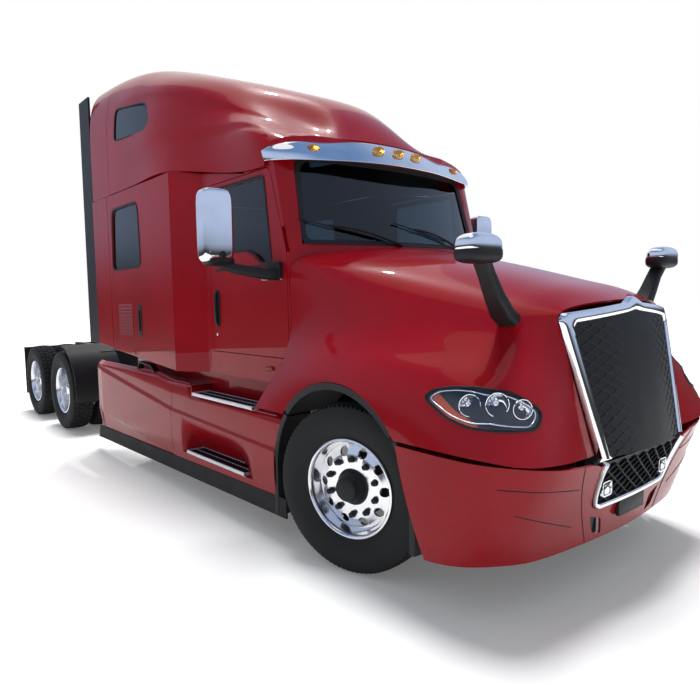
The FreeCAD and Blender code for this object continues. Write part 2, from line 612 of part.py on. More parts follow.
def tyre_ring():
    """Tyre with its rim's outer flange at x = 0."""
    half = [("rim_width / 2 - 14", "rim_radius + 14"), ("tyre_width / 2", "(rim_radius + tyre_radius) / 2 + 10"),
            ("tread_width / 2", "tyre_radius")]
    stations = [(f"-rim_width / 2 - ({x})", r) for x, r in half]
    stations += [(f"-rim_width / 2 + ({x})", r) for x, r in half[::-1]]
    bore = polygon_loft("tyre_bore", [("-2 * tyre_width", "rim_radius"), ("tyre_width", "rim_radius")])
    return cut("tyre_ring", polygon_loft("tyre_whole", stations), bore)


def rim(name, disc_depth, holes):
    """Flanged barrel with a disc `disc_depth` behind its outer flange at x = 0."""
    barrel = polygon_loft(name + "_barrel", [("-rim_width", "rim_radius + 12"), ("14 - rim_width", "rim_radius"),
                                             ("-14", "rim_radius"), ("0", "rim_radius + 12")])
    bowl = polygon_loft(name + "_bowl", [(f"-{disc_depth}", "rim_radius - rim_wall - 8"),
                                         ("1", "rim_radius - rim_wall + 12")])
    back = polygon_loft(name + "_back", [("-rim_width - 1", "rim_radius - rim_wall + 12"),
                                         (f"-{disc_depth} - disc_thickness", "rim_radius - rim_wall - 8")])
    tools = [bowl, back]
    for number in range(10 if holes else 0):
        hole = doc.addObject("Part::Prism", f"{name}_hole{number}")
        hole.Polygon = 8
        hole.Placement = Placement(Vector(), TURNS["x"])
        bind(hole, Circumradius="hand_hole_radius", Height="disc_thickness + 40",
             Placement__Base__x=f"-{disc_depth} - disc_thickness - 20",
             Placement__Base__y=f"hand_hole_circle * cos(36 deg * {number})",
             Placement__Base__z=f"hand_hole_circle * sin(36 deg * {number})")
        tools.append(hole)
    return cut(name, barrel, *tools)


TYRE = tyre_ring()
FRONT_FACE = "(front_rim_face_x - kingpin_x)"
INNER_FACE = "(drive_rim_face_x - dual_spacing)"
SECOND_DRIVE = "(first_drive_y + tandem_spacing)"

front_hub = cylinder("front_hub", "x", "hub_radius", "front_disc_depth + 75", ("-front_disc_depth - 70", "0", "0"))
front_bore = cylinder("front_bore", "x", "spindle_radius + running_gap", "front_disc_depth + 80",
                      ("-front_disc_depth - 80 - spindle_end + seat_gap", "0", "0"))
front_rim = cut("front_rim", fuse("front_rim_whole", rim("front_wheel", "front_disc_depth", True), front_hub),
                front_bore)
hub_start = f"{INNER_FACE} - inner_disc_depth - 60"
drive_hub = cylinder("drive_hub", "x", "hub_radius", f"drive_rim_face_x - 35 - ({hub_start})", (hub_start, "0", "0"))
drive_bore = cylinder("drive_bore", "x", "spindle_radius + running_gap",
                      f"drive_rim_face_x - spindle_end + seat_gap - ({hub_start} - 5)", (f"{hub_start} - 5", "0", "0"))
twin_rims = cut("twin_rims", fuse("twin_rims_whole",
                                  moved("outer_wheel", rim("outer_rim", "drive_disc_depth", True), "drive_rim_face_x"),
                                  moved("inner_wheel", rim("inner_rim", "inner_disc_depth", False), INNER_FACE),
                                  drive_hub), drive_bore)
twin_tyres = doc.addObject("Part::Compound", "twin_tyres")
twin_tyres.Links = [moved("outer_tyre", TYRE, "drive_rim_face_x"), moved("inner_tyre", TYRE, INNER_FACE)]

# Steering knuckle: two ears round the kingpin, spindle and brake drum

ears = box("ears", ("-50", "82"), ("-50", "50"), ("-130", "130"))
ears_gap = box("ears_gap", ("-61", "62"), ("-62", "62"), ("-56 - seat_gap", "56 + seat_gap"))
ears_bore = cylinder("ears_bore", "z", "kingpin_radius + running_gap", "300", ("0", "0", "-150"))
spindle = cylinder("spindle", "x", "spindle_radius", f"{FRONT_FACE} - spindle_end - 60", ("60", "0", "0"))
drum = cylinder("drum", "x", "190", "34", ("80", "0", "0"))
knuckle = fuse("knuckle", cut("knuckle_ears", ears, ears_gap, ears_bore), spindle, drum)

for side, sign, turn in (("left", "", "rest_steer"), ("right", "-", "180 + rest_steer")):
    steered = {"x": f"{sign}kingpin_x", "z": "tyre_radius", "turn": turn}
    part(f"knuckle_{side}", moved(f"knuckle_{side}_copy", knuckle), **steered)
    part(f"front_tyre_{side}", moved(f"front_tyre_{side}_copy", moved(f"front_ring_{side}", TYRE, FRONT_FACE)),
         **steered)
    part(f"front_rim_{side}", moved(f"front_rim_{side}_copy", moved(f"front_disc_{side}", front_rim, FRONT_FACE)),
         **steered)
for axle, axle_y in (("first", "first_drive_y"), ("second", SECOND_DRIVE)):
    for side, turn in (("left", "0"), ("right", "180")):
        driven = {"y": axle_y, "z": "tyre_radius", "turn": turn}
        part(f"drive_tyres_{axle}_{side}", moved(f"{axle}_{side}_tyres", twin_tyres), **driven)
        part(f"drive_rims_{axle}_{side}", moved(f"{axle}_{side}_rims", twin_rims), **driven)

# Roof fairing: spline skin through cross-sections from the visor back to the rear lip

roof_half = [
    [(0, 720, 2800), (0, 950, 3070), (0, 1440, 3335), (0, 2100, 3605), (0, 2700, 3825), (0, 3300, 3960), (0, 3900, 3985)],
    [(420, 730, 2790), (430, 960, 3055), (450, 1440, 3320), (470, 2100, 3590), (480, 2700, 3810), (480, 3300, 3950),
     (480, 3900, 3975)],
    [(760, 770, 2760), (780, 980, 3010), (810, 1440, 3270), (840, 2100, 3540), (860, 2700, 3750), (870, 3300, 3890),
     (870, 3900, 3925)],
    [(960, 810, 2720), (985, 1000, 2950), (1020, 1440, 3165), (1060, 2100, 3395), (1090, 2700, 3590), (1110, 3300, 3720),
     (1115, 3900, 3770)],
    [(1025, 830, 2660), (1045, 1010, 2835), (1075, 1440, 2985), (1145, 2100, 3150), (1180, 2700, 3290),
     (1190, 3300, 3400), (1195, 3900, 3440)],
    [(1045, 840, 2600), (1058, 1015, 2670), (1080, 1440, 2740), (1175, 2060, 2870), (1200, 2700, 2990),
     (1200, 3300, 3050), (1200, 3900, 3080)],
    [(1055, 845, 2550), (1062, 1020, 2548), (1062, 1440, 2600), (1200, 2060, 2704), (1200, 2700, 2704),
     (1200, 3300, 2704), (1200, 3900, 2704)],
]
roof_rows = mirror_rows(roof_half)
roof_skin = feature("roof_skin", skin(roof_rows, 0, -size("roof_wall")))
# Cab: a bowed shell between cowl and header, with doors and windscreen cut

WALL = size("panel_depth")
CAB_X = size("cab_x")
SIDE_X = size("side_x")


def cab_wire(z, corner_y, nose_y, inset, rear):
    """Plan of the cab at one height, its front bowed through the nose point."""
    half = CAB_X - inset
    flare = (size("sleeper_flare_y") + inset * 0.3, size("sleeper_front_y") + rear)
    corners = [Vector(half, corner_y + inset, z), Vector(half, flare[0], z),
               Vector(SIDE_X - inset, flare[1], z), Vector(inset - SIDE_X, flare[1], z),
               Vector(-half, flare[0], z), Vector(-half, corner_y + inset, z)]
    edges = [Part.LineSegment(a, b).toShape() for a, b in zip(corners, corners[1:])]
    nose = Vector(0, nose_y + inset, z)
    edges.append(Part.Arc(corners[-1], nose, corners[0]).toShape())
    return Part.Wire(edges)


def cab_block(inset, bottom, rear):
    """Solid cab, moved in by `inset`, from `bottom` to the header."""
    low = [cab_wire(z, size("cab_front_y"), size("cab_nose_y"), inset, rear)
           for z in (bottom, size("belt_z"))]
    top = cab_wire(size("header_z") + (1 if inset else 0), size("header_front_y"), size("header_nose_y"),
                   inset, rear)
    return Part.makeLoft(low, True, True).fuse(Part.makeLoft([low[1], top], True, True))


DOOR = [("door_front_y", "door_bottom_z"), ("door_front_y", "belt_z"), ("pillar_top_y", "door_top_z - 30"),
        ("pillar_top_y + 35", "door_top_z"), ("door_rear_y - 40", "door_top_z"),
        ("door_rear_y", "door_top_z - 40"), ("door_rear_y", "door_bottom_z")]
OPENING = [("door_front_y - door_gap", "door_bottom_z - door_gap"),
           ("door_front_y - door_gap", "belt_z + 1"), ("pillar_top_y - door_gap", "door_top_z - 30 + 1"),
           ("pillar_top_y + 35 - 3", "door_top_z + door_gap"), ("door_rear_y - 37", "door_top_z + door_gap"),
           ("door_rear_y + door_gap", "door_top_z - 37"), ("door_rear_y + door_gap", "door_bottom_z - door_gap")]
WINDOW = [("door_front_y + 185", "belt_z - 45"), ("door_front_y + 305", "belt_z - 50"),
          ("door_front_y + 385", "belt_z + 10"), ("door_front_y + 500", "belt_z + 55"),
          ("door_rear_y - 95", "belt_z + 65"), ("door_rear_y - 95", "door_top_z - 60"),
          ("door_rear_y - 115", "door_top_z - 45"), ("pillar_top_y + 85", "door_top_z - 48")]
SCREEN = [("0.9 * cab_x", "belt_z + 55"), ("0.86 * cab_x", "header_z - 220"), ("0.8 * cab_x", "header_z - 165"),
          ("-0.8 * cab_x", "header_z - 165"), ("-0.86 * cab_x", "header_z - 220"), ("-0.9 * cab_x", "belt_z + 55")]
door_opening = prism("door_opening", "YZ", OPENING, "0", "2 * cab_x + 20")
screen_opening = prism("screen_opening", "XZ", SCREEN, "500", "1300")
roof_line = prism("roof_line", "YZ", [("header_front_y + 330", "2546"), ("header_front_y + 330", "2900"),
                                      ("sleeper_front_y + 20", "2900"), ("sleeper_front_y + 20", "2699"),
                                      ("sleeper_front_y - 50", "2694")], "0", "2 * side_x + 40")
# Room in the pillar for the door's outer corner, which turns forward beside its pin
relief = prism("relief", "YZ", [("door_front_y - 25", "belt_z + 1"), ("door_front_y + 5", "belt_z + 1"),
                                ("door_front_y + 48", "belt_z + 175"), ("door_front_y + 18", "belt_z + 175")],
               "cab_x - 3", "34")
cab_inner = feature("cab_inner", cab_block(WALL, size("cab_bottom_z") + size("floor_height"), 10))
pin_low = cylinder("door_pin_left", "z", "door_pin_radius", "door_pin_height + 20",
                   ("cab_x - door_pin_inset", "door_front_y + 22", "door_bottom_z - door_gap - 20"))
cab_shell = cut("cab_shell", feature("cab_outer", cab_block(0, size("cab_bottom_z"), 0)), cab_inner,
                door_opening, screen_opening, roof_line, relief, mirrored("relief_mirror", relief),
                feature("roof_over", skin(roof_rows, 150, -size("roof_wall") - size("seat_gap"))))
part("cab", fuse("cab_whole", cab_shell, pin_low, mirrored("door_pin_right", pin_low)))

# Windscreen and the other glass of the cab

glass_layer = feature("glass_layer", cab_block(14, size("cab_bottom_z"), 0).cut(
    cab_block(14 + size("glass_thickness"), size("cab_bottom_z") - 5, 5)))
windscreen = common("windscreen_pane", glass_layer, screen_opening)
part("windscreen", windscreen)

# Doors


def door(side):
    """Door panel and its glass, on the truck's left or right."""
    sign = "" if side == "left" else "- "
    centre = f"{sign}( cab_x - panel_depth / 2 )"
    whole = prism(f"door_{side}_whole", "YZ", DOOR, centre, "panel_depth")
    window = prism(f"door_{side}_window", "YZ", WINDOW, centre, "panel_depth + 2")
    bore = cylinder(f"door_{side}_bore", "z", "door_pin_radius + running_gap", "door_pin_height + seat_gap + 1",
                    (f"{sign}( cab_x - door_pin_inset )", "door_front_y + 22", "door_bottom_z - 1"))
    part(f"door_{side}", cut(f"door_{side}_cut", whole, window, bore))
    part(f"door_glass_{side}", prism(f"door_{side}_pane", "YZ", WINDOW, centre, "glass_thickness"))


door("left")
door("right")

# Door mirrors: a bent arm on the door and a tall rounded head

arm = prism("mirror_arm", "XY", [("cab_x + seam / 2", "mirror_y - 190"), ("cab_x + 60", "mirror_y - 200"),
                                 ("mirror_x - mirror_width / 2", "mirror_y - 40"),
                                 ("mirror_x + 20", "mirror_y - 40"), ("mirror_x + 20", "mirror_y + 40"),
                                 ("mirror_x - mirror_width / 2", "mirror_y + 30"),
                                 ("cab_x + 60", "mirror_y - 60"), ("cab_x + seam / 2", "mirror_y - 60")],
            "mirror_bottom_z - 45", "60")
foot = box("mirror_foot", ("cab_x", "cab_x + 30"), ("mirror_y - 215", "mirror_y - 50"),
           ("mirror_bottom_z - 110", "mirror_bottom_z + 10"))
head = prism("mirror_head", "XY", [("mirror_x - mirror_width / 2", "mirror_y - 20"),
                                   ("mirror_x - mirror_width / 2 + 35", "mirror_y - mirror_depth / 2 - 15"),
                                   ("mirror_x + mirror_width / 2 - 45", "mirror_y - mirror_depth / 2"),
                                   ("mirror_x + mirror_width / 2", "mirror_y - 10"),
                                   ("mirror_x + mirror_width / 2", "mirror_y + mirror_depth / 2"),
                                   ("mirror_x - mirror_width / 2", "mirror_y + mirror_depth / 2")],
             "mirror_bottom_z + mirror_height / 2 - 15", "mirror_height")
left_mirror = fuse("left_mirror", arm, foot, head)
part("door_mirror_left", left_mirror)
part("door_mirror_right", mirrored("right_mirror", moved("right_mirror_source", fuse("left_mirror_again", arm, foot,
                                                                                      head))))

# Sleeper: side walls, back and floor, open to the cab and the roof

SLEEPER = [("sleeper_front_y + seam", "cab_bottom_z"), ("sleeper_rear_y", "sleeper_bottom_z + 60"),
           ("sleeper_rear_y", "roof_seam_z"), ("sleeper_front_y + seam", "roof_seam_z")]
HOLLOW = [("sleeper_front_y", "sleeper_bottom_z + floor_height + 50"),
          ("sleeper_rear_y - panel_depth", "sleeper_bottom_z + floor_height + 50"),
          ("sleeper_rear_y - panel_depth", "roof_seam_z + 10"), ("sleeper_front_y", "roof_seam_z + 10")]
LOW_WINDOW = [("sleeper_rear_y - 130", "1965"), ("sleeper_rear_y - 100", "2000"), ("sleeper_rear_y - 140", "2505"),
              ("sleeper_rear_y - 175", "2540"), ("sleeper_rear_y - 720", "2540"),
              ("sleeper_rear_y - 765", "2500"), ("sleeper_rear_y - 790", "2005"), ("sleeper_rear_y - 755", "1965")]
sleeper_whole = prism("sleeper_whole", "YZ", SLEEPER, "0", "2 * side_x")
sleeper_hollow = prism("sleeper_hollow", "YZ", HOLLOW, "0", "2 * (side_x - panel_depth)")
low_window = prism("low_window", "YZ", LOW_WINDOW, "0", "2 * side_x + 20")
part("sleeper", cut("sleeper_shell", sleeper_whole, sleeper_hollow, low_window))
low_pane = prism("low_pane", "YZ", LOW_WINDOW, "side_x - 16", "glass_thickness")

HIGH_WINDOW = [("sleeper_rear_y - 285", "3190"), ("sleeper_rear_y - 305", "3460"), ("sleeper_rear_y - 345", "3480"),
               ("sleeper_rear_y - 900", "3400"), ("sleeper_rear_y - 980", "3370"), ("sleeper_rear_y - 1085", "3215"),
               ("sleeper_rear_y - 1060", "3160"), ("sleeper_rear_y - 980", "3135")]
high_window = prism("high_window", "YZ", HIGH_WINDOW, "0", "2 * side_x + 40")
back_line = [row[5] for row in roof_rows]
back_points = [(x * 0.99, size("sleeper_rear_y") - 30, z - 11 if abs(x) < 1100 else z) for x, y, z in back_line]
roof_back = feature("roof_back", plate(back_points, (0, 1, 0), 30))
roof_floor = box("roof_floor", ("- side_x - 100", "side_x + 100"), ("sleeper_front_y", "edge_rear_y"),
                 ("belt_z", "roof_seam_z + seat_gap"))
part("roof_fairing", fuse("roof_whole", cut("roof_cut", roof_skin, high_window, roof_floor), roof_back))
high_panes = common("high_panes", feature("roof_glass", skin(roof_rows, -6, -6 - size("glass_thickness"))),
                    high_window)
sleeper_panes = doc.addObject("Part::Compound", "sleeper_panes")
sleeper_panes.Links = [low_pane, mirrored("low_pane_mirror", low_pane), high_panes]
part("sleeper_glass", sleeper_panes)

# Hood: one spline skin from the cowl over the shoulders, lamps and fenders to its lower edge

hood_half = [
    [(0, -1120, 1592), (0, -990, 1650), (0, -820, 1700), (0, -450, 1795), (0, -50, 1890), (0, 220, 1945), (0, 405, 1985)],
    [(310, -1096, 1580), (330, -985, 1635), (350, -805, 1680), (380, -440, 1775), (400, -40, 1870), (420, 225, 1930),
     (430, 430, 1972)],
    [(565, -1050, 1535), (595, -950, 1550), (640, -770, 1585), (710, -420, 1665), (780, -20, 1790), (830, 290, 1868),
     (880, 545, 1925)],
    [(572, -1072, 1410), (670, -990, 1415), (755, -790, 1445), (845, -420, 1510), (940, -20, 1630), (990, 300, 1740),
     (1022, 612, 1815)],
    [(552, -1108, 1230), (760, -1045, 1240), (925, -860, 1275), (1030, -450, 1310), (1052, 0, 1370), (1035, 320, 1420),
     (1030, 612, 1450)],
    [(515, -1150, 1030), (830, -1130, 1050), (1075, -965, 1080), (1170, -500, 1140), (1185, 0, 1165), (1150, 400, 1175),
     (1088, 690, 1180)],
    [(478, -1195, 812), (850, -1215, 835), (1130, -1075, 868), (1212, -600, 888), (1212, 0, 888), (1203, 450, 888),
     (1190, 845, 888)],
]
hood_rows = mirror_rows(hood_half)
hood_skin = feature("hood_skin", skin(hood_rows, 0, -size("hood_wall")))
arch_cut = cylinder("arch_cut", "x", "arch_radius", "2 * side_x + 200", ("-side_x - 100", "0", "tyre_radius"))
neck_x = "rail_outer_x + 52"
hood_pin = cylinder("hood_pin", "x", "hinge_pin_radius", "70", ("rail_outer_x + 2", "hood_hinge_y", "hood_hinge_z"))


def neck_sector(name, radius, start, sweep):
    """Sector of a disc about the hood's hinge, its angles measured from the rear."""
    sector = doc.addObject("Part::Cylinder", name)
    sector.Placement = Placement(Vector(), Rotation(Vector(1, 1, 1), 120) * Rotation(Vector(0, 0, 1), start))
    return bind(sector, Radius=radius, Height="28", Angle=str(sweep), Placement__Base__x=neck_x,
                Placement__Base__y="hood_hinge_y", Placement__Base__z="hood_hinge_z")


neck = fuse("hood_neck", cut("hood_neck_arc", neck_sector("neck_out", "hood_neck_radius + 14", 28, 76),
                             neck_sector("neck_in", "hood_neck_radius - 14", 20, 100)),
            neck_sector("neck_root", "hood_neck_radius", 28, 9), neck_sector("neck_boss", "24", 0, 360), hood_pin)

# Headlamps: the part of a thicker skin that lies in the lamp's outline

LAMP = [(350, 1128), (300, 1168), (200, 1186), (95, 1188), (-50, 1170), (-130, 1130), (-190, 1085), (-200, 1050),
        (-165, 1000), (30, 1000), (155, 1008), (250, 1045)]
LAMP_AXIS = Vector(1, -1, 0).normalize()
ALONG = Vector(1, 1, 0).normalize()


def lamp_block(grow):
    """Prism along the lamp's own axis, its outline grown by `grow`."""
    centre_u = sum(u for u, z in LAMP) / len(LAMP)
    centre_z = sum(z for u, z in LAMP) / len(LAMP)
    corners = []
    for u, z in LAMP:
        reach = math.hypot(u - centre_u, z - centre_z)
        share = 1 + grow / reach
        corners.append(ALONG * (centre_u + (u - centre_u) * share) + Vector(0, 0, centre_z + (z - centre_z) * share))
    face = Part.Face(Part.makePolygon([c + LAMP_AXIS * 1100 for c in corners + corners[:1]]))
    return face.extrude(LAMP_AXIS * 900)


lamp_hole = feature("lamp_hole", lamp_block(0.3))
lamp_layer = feature("lamp_layer", skin(hood_rows, 1, -55))
lamp = common("lamp", lamp_layer, feature("lamp_outline", lamp_block(0)))
part("headlamps", both_sides("headlamps_both", lamp))

# Inner fenders: half tubes under the arches, carried by the hood

liner_ring = cut("liner_ring", cylinder("liner_out", "x", "arch_radius + 0.5", "side_x - liner_inner_x",
                                        ("liner_inner_x", "0", "tyre_radius")),
                 cylinder("liner_in", "x", "arch_radius - liner_wall", "side_x", ("liner_inner_x - 100", "0",
                                                                                  "tyre_radius")),
                 box("liner_low", ("0", "2 * side_x"), ("-2 * arch_radius", "2 * arch_radius"), ("-500", "905")),
                 feature("liner_room", skin(hood_rows, 120, -size("hood_wall") - size("seat_gap"))))
cowl_room = feature("cowl_room", cab_block(-size("hood_gap"), size("cab_bottom_z") - 200, 0))
door_room = box("door_room", ("-side_x - 100", "side_x + 100"), ("door_front_y - 8", "door_front_y + 300"),
                ("door_bottom_z - 45", "header_z"))
hood_trimmed = cut("hood_trimmed", cut("hood_trimmed_cowl", hood_skin, cowl_room), door_room)
hood_shell = fuse("hood_shell", cut("hood_cut", hood_trimmed, arch_cut, lamp_hole,
                                    mirrored("lamp_hole_mirror", lamp_hole)),
                  neck, mirrored("hood_neck_mirror", neck))
part("hood", hood_shell)
part("wheel_liners", both_sides("wheel_liners_both", liner_ring))

# Grille and its chrome surround, both bowed across the nose

nose_rows = []
for x, bow in ((-700, -40), (-600, 0), (-300, -75), (0, -100), (300, -75), (600, 0), (700, -40)):
    bow_y = 40 if abs(x) == 700 else bow
    nose_rows.append([(x, -1192 + bow_y + (z - 791) * 0.174, z) for z in (760, 1000, 1250, 1500, 1680)])
FRAME_OUT = [("grille_top_x - 20", "grille_top_z - 32"), ("grille_top_x - 4", "grille_top_z - 60"),
             ("grille_bottom_x - 4", "grille_bottom_z"), ("4 - grille_bottom_x", "grille_bottom_z"),
             ("4 - grille_top_x", "grille_top_z - 60"), ("20 - grille_top_x", "grille_top_z - 32"),
             ("-90", "grille_top_z + 12"), ("0", "grille_top_z + 50"), ("90", "grille_top_z + 12")]
FRAME_IN = [("grille_top_x - 20 - surround_width", "grille_top_z - 32 - surround_width"),
            ("grille_top_x + 4 - surround_width", "grille_top_z - 70 - surround_width"),
            ("grille_bottom_x + 4 - surround_width", "grille_bottom_z - 1"),
            ("surround_width - grille_bottom_x - 4", "grille_bottom_z - 1"),
            ("surround_width - grille_top_x - 4", "grille_top_z - 70 - surround_width"),
            ("surround_width + 20 - grille_top_x", "grille_top_z - 32 - surround_width"),
            ("-90", "grille_top_z + 8 - surround_width"), ("0", "grille_top_z + 24 - surround_width"),
            ("90", "grille_top_z + 8 - surround_width")]
nose_thick = feature("nose_thick", skin(nose_rows, 18, 18 - size("surround_depth")))
nose_thin = feature("nose_thin", skin(nose_rows, 0, -size("grille_depth")))
ring_out = prism("ring_out", "XZ", FRAME_OUT, "-1100", "700")
ring_in = prism("ring_in", "XZ", FRAME_IN, "-1100", "702")
surround_room = feature("surround_room", skin(hood_rows, size("seat_gap"), -size("hood_wall") - size("seat_gap")))
part("grille_surround", cut("surround_cut", common("surround_band", nose_thick, ring_out), ring_in, surround_room))
part("grille", common("grille_plate", nose_thin, ring_in))

# Hood mirrors: a rounded head on a slanted arm

hood_arm_bar = prism("hood_mirror_arm", "XZ", [("700", "1460"), ("830", "1500"), ("985", "1740"), ("1040", "1775"),
                                               ("930", "1800"), ("760", "1600"), ("650", "1560")], "-870", "80")
hood_head = prism("hood_mirror_head", "XZ", [("885", "1790"), ("905", "1770"), ("1120", "1760"), ("1145", "1790"),
                                             ("1150", "1890"), ("1110", "1935"), ("920", "1930"), ("880", "1890")],
                  "-890", "150")
hood_mirror = cut("hood_mirror", fuse("hood_mirror_whole", hood_arm_bar, hood_head),
                  feature("hood_room", skin(hood_rows, 0.3, -60)))
part("hood_mirrors", both_sides("hood_mirrors_both", hood_mirror))

# Bumper: spline skin with a centre opening, lower grille and fog lamps

bumper_skin = feature("bumper_skin", skin(mirror_rows(bumper_half), 0, -size("bumper_wall")))
MOUTH = [("470", "900"), ("470", "760"), ("430", "540"), ("395", "500"), ("-395", "500"), ("-430", "540"),
         ("-470", "760"), ("-470", "900")]
mouth = prism("mouth", "XZ", MOUTH, "-1200", "500")
tow_hole = box("tow_hole", ("490", "545"), ("-1400", "-900"), ("395", "450"))
corner_room = prism("corner_room", "XZ", [("405", "764"), ("494", "764"), ("522", "776"), ("640", "806"), ("640", "900"),
                                          ("405", "900")], "-1240", "160")
corner_rooms = [corner_room, mirrored("corner_room_mirror", corner_room)]
bumper = cut("bumper_cut", bumper_skin, mouth, tow_hole, mirrored("tow_hole_mirror", tow_hole), *corner_rooms)
part("bumper", bumper)
lower_layer = feature("lower_layer", skin(mirror_rows(bumper_half), -size("bumper_wall") - size("seat_gap"),
                                          -30))
fog_hole = cylinder("fog_hole", "y", "fog_radius + 4", "300", ("340", "-1350", "610"))
part("lower_grille", cut("lower_grille_cut", common("lower_panel", lower_layer, mouth), fog_hole,
                         mirrored("fog_hole_mirror", fog_hole),
                         box("grille_room", ("-600", "600"), ("-1400", "-1100"), ("775", "900"))))
fog_layer = feature("fog_layer", skin(mirror_rows(bumper_half), -6, -60))
fog_body = cylinder("fog_body", "y", "fog_radius + 4 - seat_gap", "300", ("340", "-1350", "610"))
part("fog_lamps", both_sides("fog_lamps_both", common("fog_lamp", fog_layer, fog_body)))

# Visor over the windscreen with its five lamps

visor_half = [
    [(0, 500, 2590), (0, 545, 2650), (0, 600, 2705), (0, 690, 2782)],
    [(350, 525, 2588), (350, 568, 2645), (350, 622, 2698), (350, 700, 2770)],
    [(700, 605, 2580), (700, 640, 2632), (700, 682, 2680), (690, 745, 2735)],
    [(975, 730, 2568), (980, 738, 2610), (975, 755, 2650), (950, 790, 2690)],
    [(1050, 850, 2575), (1056, 855, 2600), (1058, 860, 2625), (1056, 870, 2648)],
]
visor_rows = mirror_rows(visor_half)
visor_front = cut("visor_front", feature("visor_skin", skin(visor_rows, 0, -6)),
                  feature("visor_room", cab_block(-0.3, size("cab_bottom_z") + 1, 0)))
part("visor", cut("visor_cut", visor_front, feature("visor_roof_room", skin(roof_rows, 0.3, -60))))
lamp_pieces = []
for x, y, z in ((0, 600, 2705), (202, 608, 2702), (-202, 608, 2702), (748, 700, 2665), (-748, 700, 2665)):
    pod = Part.makeSphere(28, Vector(x, y, z))
    lamp_pieces.append(pod)
markers = Part.makeCompound(lamp_pieces).cut(skin(visor_rows, 0.3, -60))
part("marker_lamps", feature("markers", markers))

# Side extenders behind the sleeper

EXTENDER = [("sleeper_rear_y + seat_gap", "sleeper_bottom_z + 70"), ("extender_rear_y", "extender_bottom_z"),
            ("extender_rear_y", "roof_seam_z"), ("sleeper_rear_y + seat_gap", "roof_seam_z")]
part("side_extenders", both_sides("extenders", prism("extender", "YZ", EXTENDER, "side_x - extender_wall / 2",
                                                     "extender_wall")))
EDGE = [("extender_rear_y + seat_gap", "extender_bottom_z"), ("edge_rear_y + 15", "extender_bottom_z"),
        ("edge_rear_y - 10", "extender_top_z"), ("extender_rear_y + seat_gap", "extender_top_z")]
part("extender_edges", both_sides("edges", prism("edge", "YZ", EDGE, "side_x - extender_wall / 2 - 4",
                                                 "extender_wall - 8")))

# Quarter fenders, mud flaps and tail lamps

fender_ring = cut("fender_ring", cylinder("fender_out", "x", "fender_radius", "side_x - fender_inner_x",
                                          ("fender_inner_x", "first_drive_y", "tyre_radius")),
                  cylinder("fender_in", "x", "fender_radius - fender_wall", "side_x",
                           ("fender_inner_x - 50", "first_drive_y", "tyre_radius")),
                  box("fender_rear", ("0", "2 * side_x"), ("first_drive_y - 60", "first_drive_y + 700"),
                      ("-300", "1300")),
                  box("fender_low", ("0", "2 * side_x"), ("first_drive_y - 700", "first_drive_y"),
                      ("-300", "tyre_radius - 100")))
fender_stay = box("fender_stay", ("rail_outer_x", "fender_inner_x + 200"),
                  ("first_drive_y - 330", "first_drive_y - 290"), ("960", "1000"))
part("quarter_fenders", both_sides("quarter_fenders_both", fuse("quarter_fender", fender_ring, fender_stay)))
flap = box("flap", ("fender_inner_x", "side_x"), ("rail_rear_y - 40", "rail_rear_y - 40 + flap_wall"), ("260", "930"))
flap_bar = box("flap_bar", ("rail_outer_x", "side_x"), ("rail_rear_y - 60", "rail_rear_y - 20"), ("930", "970"))
part("mud_flaps", both_sides("mud_flaps_both", fuse("mud_flap", flap, flap_bar)))
tail = box("tail", ("rail_outer_x - 330", "rail_outer_x - 110"), ("rail_rear_y", "rail_rear_y + 45"), ("830", "930"))
part("tail_lamps", both_sides("tail_lamps_both", tail))

# Interior: dash, seats, bunk and steering wheel

DASH = [("500", "1250"), ("500", "1880"), ("640", "1930"), ("880", "1880"), ("930", "1780"), ("860", "1600"),
        ("720", "1250")]
dash = prism("dash_block", "YZ", [(f"{y}", z) for y, z in DASH], "0", "1880")
inner_cab = feature("inner_cab", cab_block(WALL + size("seat_gap"),
                                              size("cab_bottom_z") + size("floor_height"), 10))
part("dash", common("dash_fitted", dash, inner_cab))
SEAT = [("1060", "1100.3"), ("1060", "1500"), ("1080", "1560"), ("1480", "1560"), ("1560", "2300"), ("1680", "2300"),
        ("1640", "1450"), ("1560", "1100.3")]
part("seats", both_sides("seats_both", prism("seat", "YZ", SEAT, "520", "520")))
part("bunk", box("bunk_block", ("panel_depth + 10 - side_x", "side_x - panel_depth - 10"),
                 ("sleeper_rear_y - panel_depth - 900", "sleeper_rear_y - panel_depth - 0.3"),
                 ("sleeper_bottom_z + floor_height + 50.3", "1650")))
rim_torus = Part.makeTorus(215, 16)
spokes = Part.makeBox(400, 44, 18, Vector(-200, -22, -9))
column = Part.makeCylinder(34, 260, Vector(0, 0, -260))
wheel_shape = rim_torus.fuse([spokes, column])
wheel_shape.Placement = Placement(Vector(520, 960, 1850), Rotation(Vector(1, 0, 0), -35))
part("steering_wheel", cut("steering_wheel_cut", feature("wheel_shape", wheel_shape), dash))

# Fifth wheel: two pedestals with trunnion pins and a tilting plate with its kingpin hole

